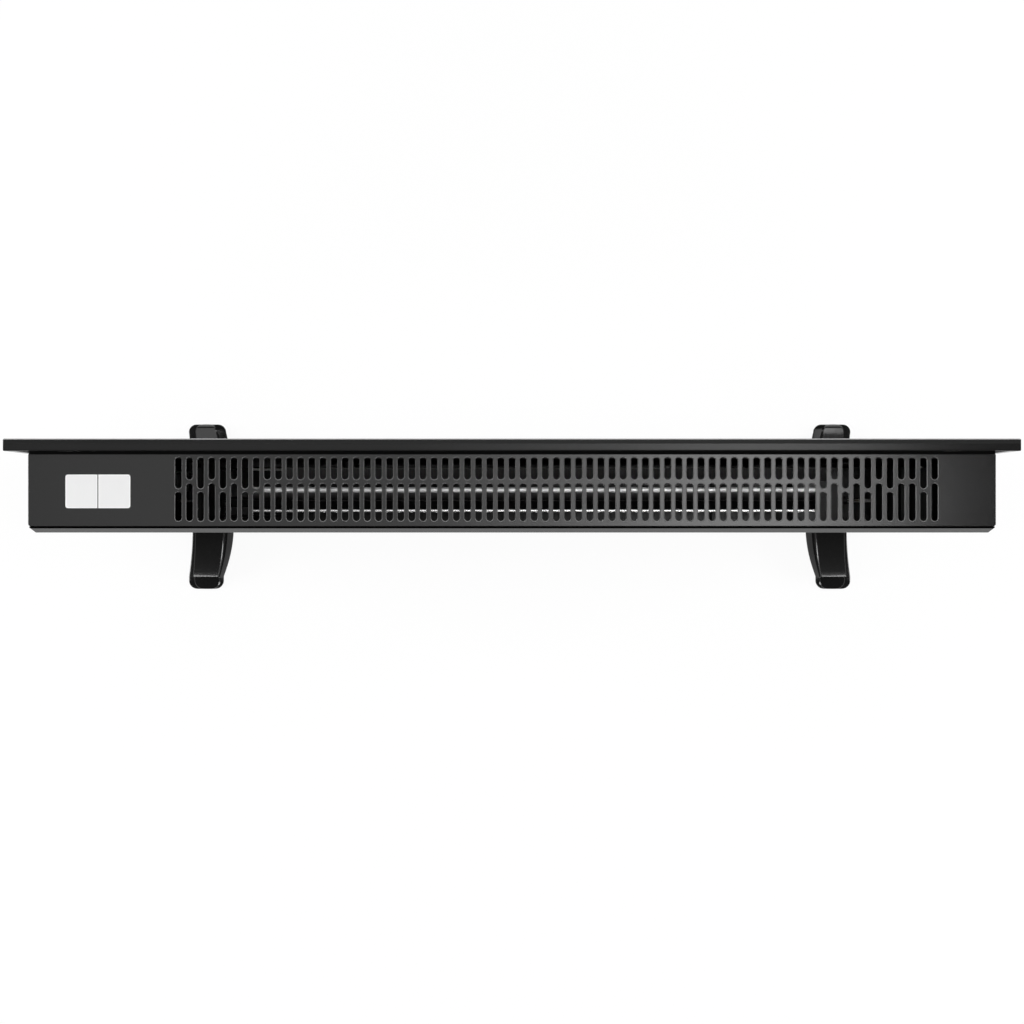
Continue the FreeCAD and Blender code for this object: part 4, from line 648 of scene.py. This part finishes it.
def smooth_foot(name, node, x, side):
    """Foot lofted along y, shown in place of its solid; side is -1 where it is mirrored."""
    rings = [foot_outline(*station) for station in foot_stations()]
    count = len(rings[0])
    vertices = [(MM * (x + side * px), MM * py, MM * pz) for ring in rings for px, py, pz in ring]
    faces = []
    for ring in range(len(rings) - 1):
        first = ring * count
        second = first + count
        for index in range(count):
            after = (index + 1) % count
            faces.append((first + index, first + after, second + after, second + index))
    faces.append(tuple(range(count - 1, -1, -1)))
    faces.append(tuple(range(len(vertices) - count, len(vertices))))
    if side < 0:
        faces = [tuple(reversed(face)) for face in faces]
    mesh = bpy.data.meshes.new(name)
    mesh.from_pydata(vertices, [], faces)
    for polygon in mesh.polygons:
        polygon.use_smooth = True
    mesh.set_sharp_from_angle(angle=math.radians(SHARP_DEGREES))
    mesh.materials.append(MATERIALS["foot_plastic"])
    piece = bpy.data.objects.new(name, mesh)
    bpy.context.scene.collection.objects.link(piece)
    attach(piece, "housing")
    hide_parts(node)


smooth_foot("foot_right_moulding", "foot_right", FOOT_RIGHT_X, 1)
smooth_foot("foot_left_moulding", "foot_left", FOOT_LEFT_X, -1)


# Floor
FLOOR_HALF = 6.0
FLOOR_CORNERS = [(-1, -1), (1, -1), (1, 1), (-1, 1)]
FLOOR_WHITE = 0.95
FLOOR_ROUGHNESS = 0.9
FLOOR_GLOW = 0.93


def floor_material():
    """White floor that keeps the shadow; the lens and mirrors see it nearly as bright as paper."""
    material, tree = new_material("floor_white")
    shader = tree.nodes["Principled BSDF"]
    shader.inputs["Base Color"].default_value = grey(FLOOR_WHITE)
    shader.inputs["Roughness"].default_value = FLOOR_ROUGHNESS
    shader.inputs["Specular IOR Level"].default_value = 0.0
    glow = add_node(tree, "ShaderNodeEmission")
    path = add_node(tree, "ShaderNodeLightPath")
    seen = math_node(tree, "MAXIMUM", path.outputs["Is Camera Ray"], path.outputs["Is Glossy Ray"])
    seen = math_node(tree, "MAXIMUM", seen, path.outputs["Is Transmission Ray"])
    share = math_node(tree, "MULTIPLY", seen, FLOOR_GLOW)
    mix_shaders(tree, share, shader.outputs["BSDF"], glow.outputs["Emission"])
    return material


floor_mesh = bpy.data.meshes.new("floor")
floor_mesh.from_pydata([(FLOOR_HALF * x, FLOOR_HALF * y, 0.0) for x, y in FLOOR_CORNERS], [], [(0, 1, 2, 3)])
floor_mesh.materials.append(floor_material())
floor = bpy.data.objects.new("floor", floor_mesh)
bpy.context.scene.collection.objects.link(floor)

# Light: height of the view direction and brightness of the surroundings there
SKY_STOPS = [(0.0, 0.9), (0.2, 0.8), (0.42, 0.12), (0.8, 0.05)]
# Point that the side and front lamps face, and the sides of mirrored lamps
BODY_TOP = (0.0, 0.0, 0.42)
SIDES = (("left", -1), ("right", 1))


def studio_world():
    """Pale surroundings near the horizon that darken towards the zenith."""
    world = bpy.data.worlds.new("studio")
    world.use_nodes = True
    tree = world.node_tree
    ramp = add_node(tree, "ShaderNodeValToRGB")
    stops = ramp.color_ramp.elements
    for stop, (position, level) in zip(stops, (SKY_STOPS[0], SKY_STOPS[-1])):
        stop.position = position
        stop.color = grey(level)
    for position, level in SKY_STOPS[1:-1]:
        stops.new(position).color = grey(level)
    tree.links.new(axes_of(tree, "Generated")[2], ramp.inputs["Fac"])
    tree.links.new(ramp.outputs["Color"], tree.nodes["Background"].inputs["Color"])
    bpy.context.scene.world = world


def soft_light(name, place, target, size, watts):
    """Rectangular soft box that faces a target."""
    data = bpy.data.lights.new(name, "AREA")
    data.shape = "RECTANGLE"
    data.size, data.size_y = size
    data.energy = watts
    lamp = bpy.data.objects.new(name, data)
    lamp.location = place
    lamp.rotation_euler = (Vector(target) - Vector(place)).to_track_quat("-Z", "Y").to_euler()
    bpy.context.scene.collection.objects.link(lamp)


studio_world()
soft_light("key_box", (-0.46, -0.05, 2.9), target=(-0.46, -0.05, 0.0), size=(0.4, 0.6), watts=10.4)
soft_light("key_fade", (-0.11, -0.05, 2.9), target=(-0.11, -0.05, 0.0), size=(0.3, 0.6), watts=3.2)
soft_light("overhead_strip", (0.54, -0.12, 2.9), target=(0.54, -0.12, 0.0), size=(1.0, 1.5), watts=9.4)
for side_name, side in SIDES:
    soft_light(side_name + "_box", (side * 2.3, -0.2, 1.35), target=BODY_TOP, size=(1.0, 0.8), watts=40.0)
soft_light("rear_strip", (0.0, 2.6, 0.5), target=(0.0, 0.0, 0.1), size=(2.6, 0.22), watts=22.0)
for side_name, side in SIDES:
    lamp_name = "rear_" + side_name + "_box"
    far_foot = (-side * 0.28, 0.05, 0.05)
    soft_light(lamp_name, (side * 2.05, 2.6, 0.8), target=far_foot, size=(1.1, 0.7), watts=26.0)
soft_light("front_strip", (0.0, -2.6, 0.42), target=BODY_TOP, size=(2.6, 0.6), watts=34.0)

# Camera: the photograph looks straight down from above the body, with the glass at its upper edge
CAMERA_HEIGHT = 2.4
CAMERA_Y = 0.0052
FOCAL_PIXELS = 2446.0
IMAGE_PIXELS = 1024.0
SENSOR_WIDTH = 36.0
camera_data = bpy.data.cameras.new("photo_camera")
camera_data.sensor_width = SENSOR_WIDTH
camera_data.lens = FOCAL_PIXELS * SENSOR_WIDTH / IMAGE_PIXELS
camera = bpy.data.objects.new("photo_camera", camera_data)
camera.location = (0.0, CAMERA_Y, CAMERA_HEIGHT)
camera.rotation_euler = (0.0, 0.0, math.pi)
bpy.context.scene.collection.objects.link(camera)
bpy.context.scene.camera = camera
bpy.context.scene.view_settings.view_transform = "Standard"
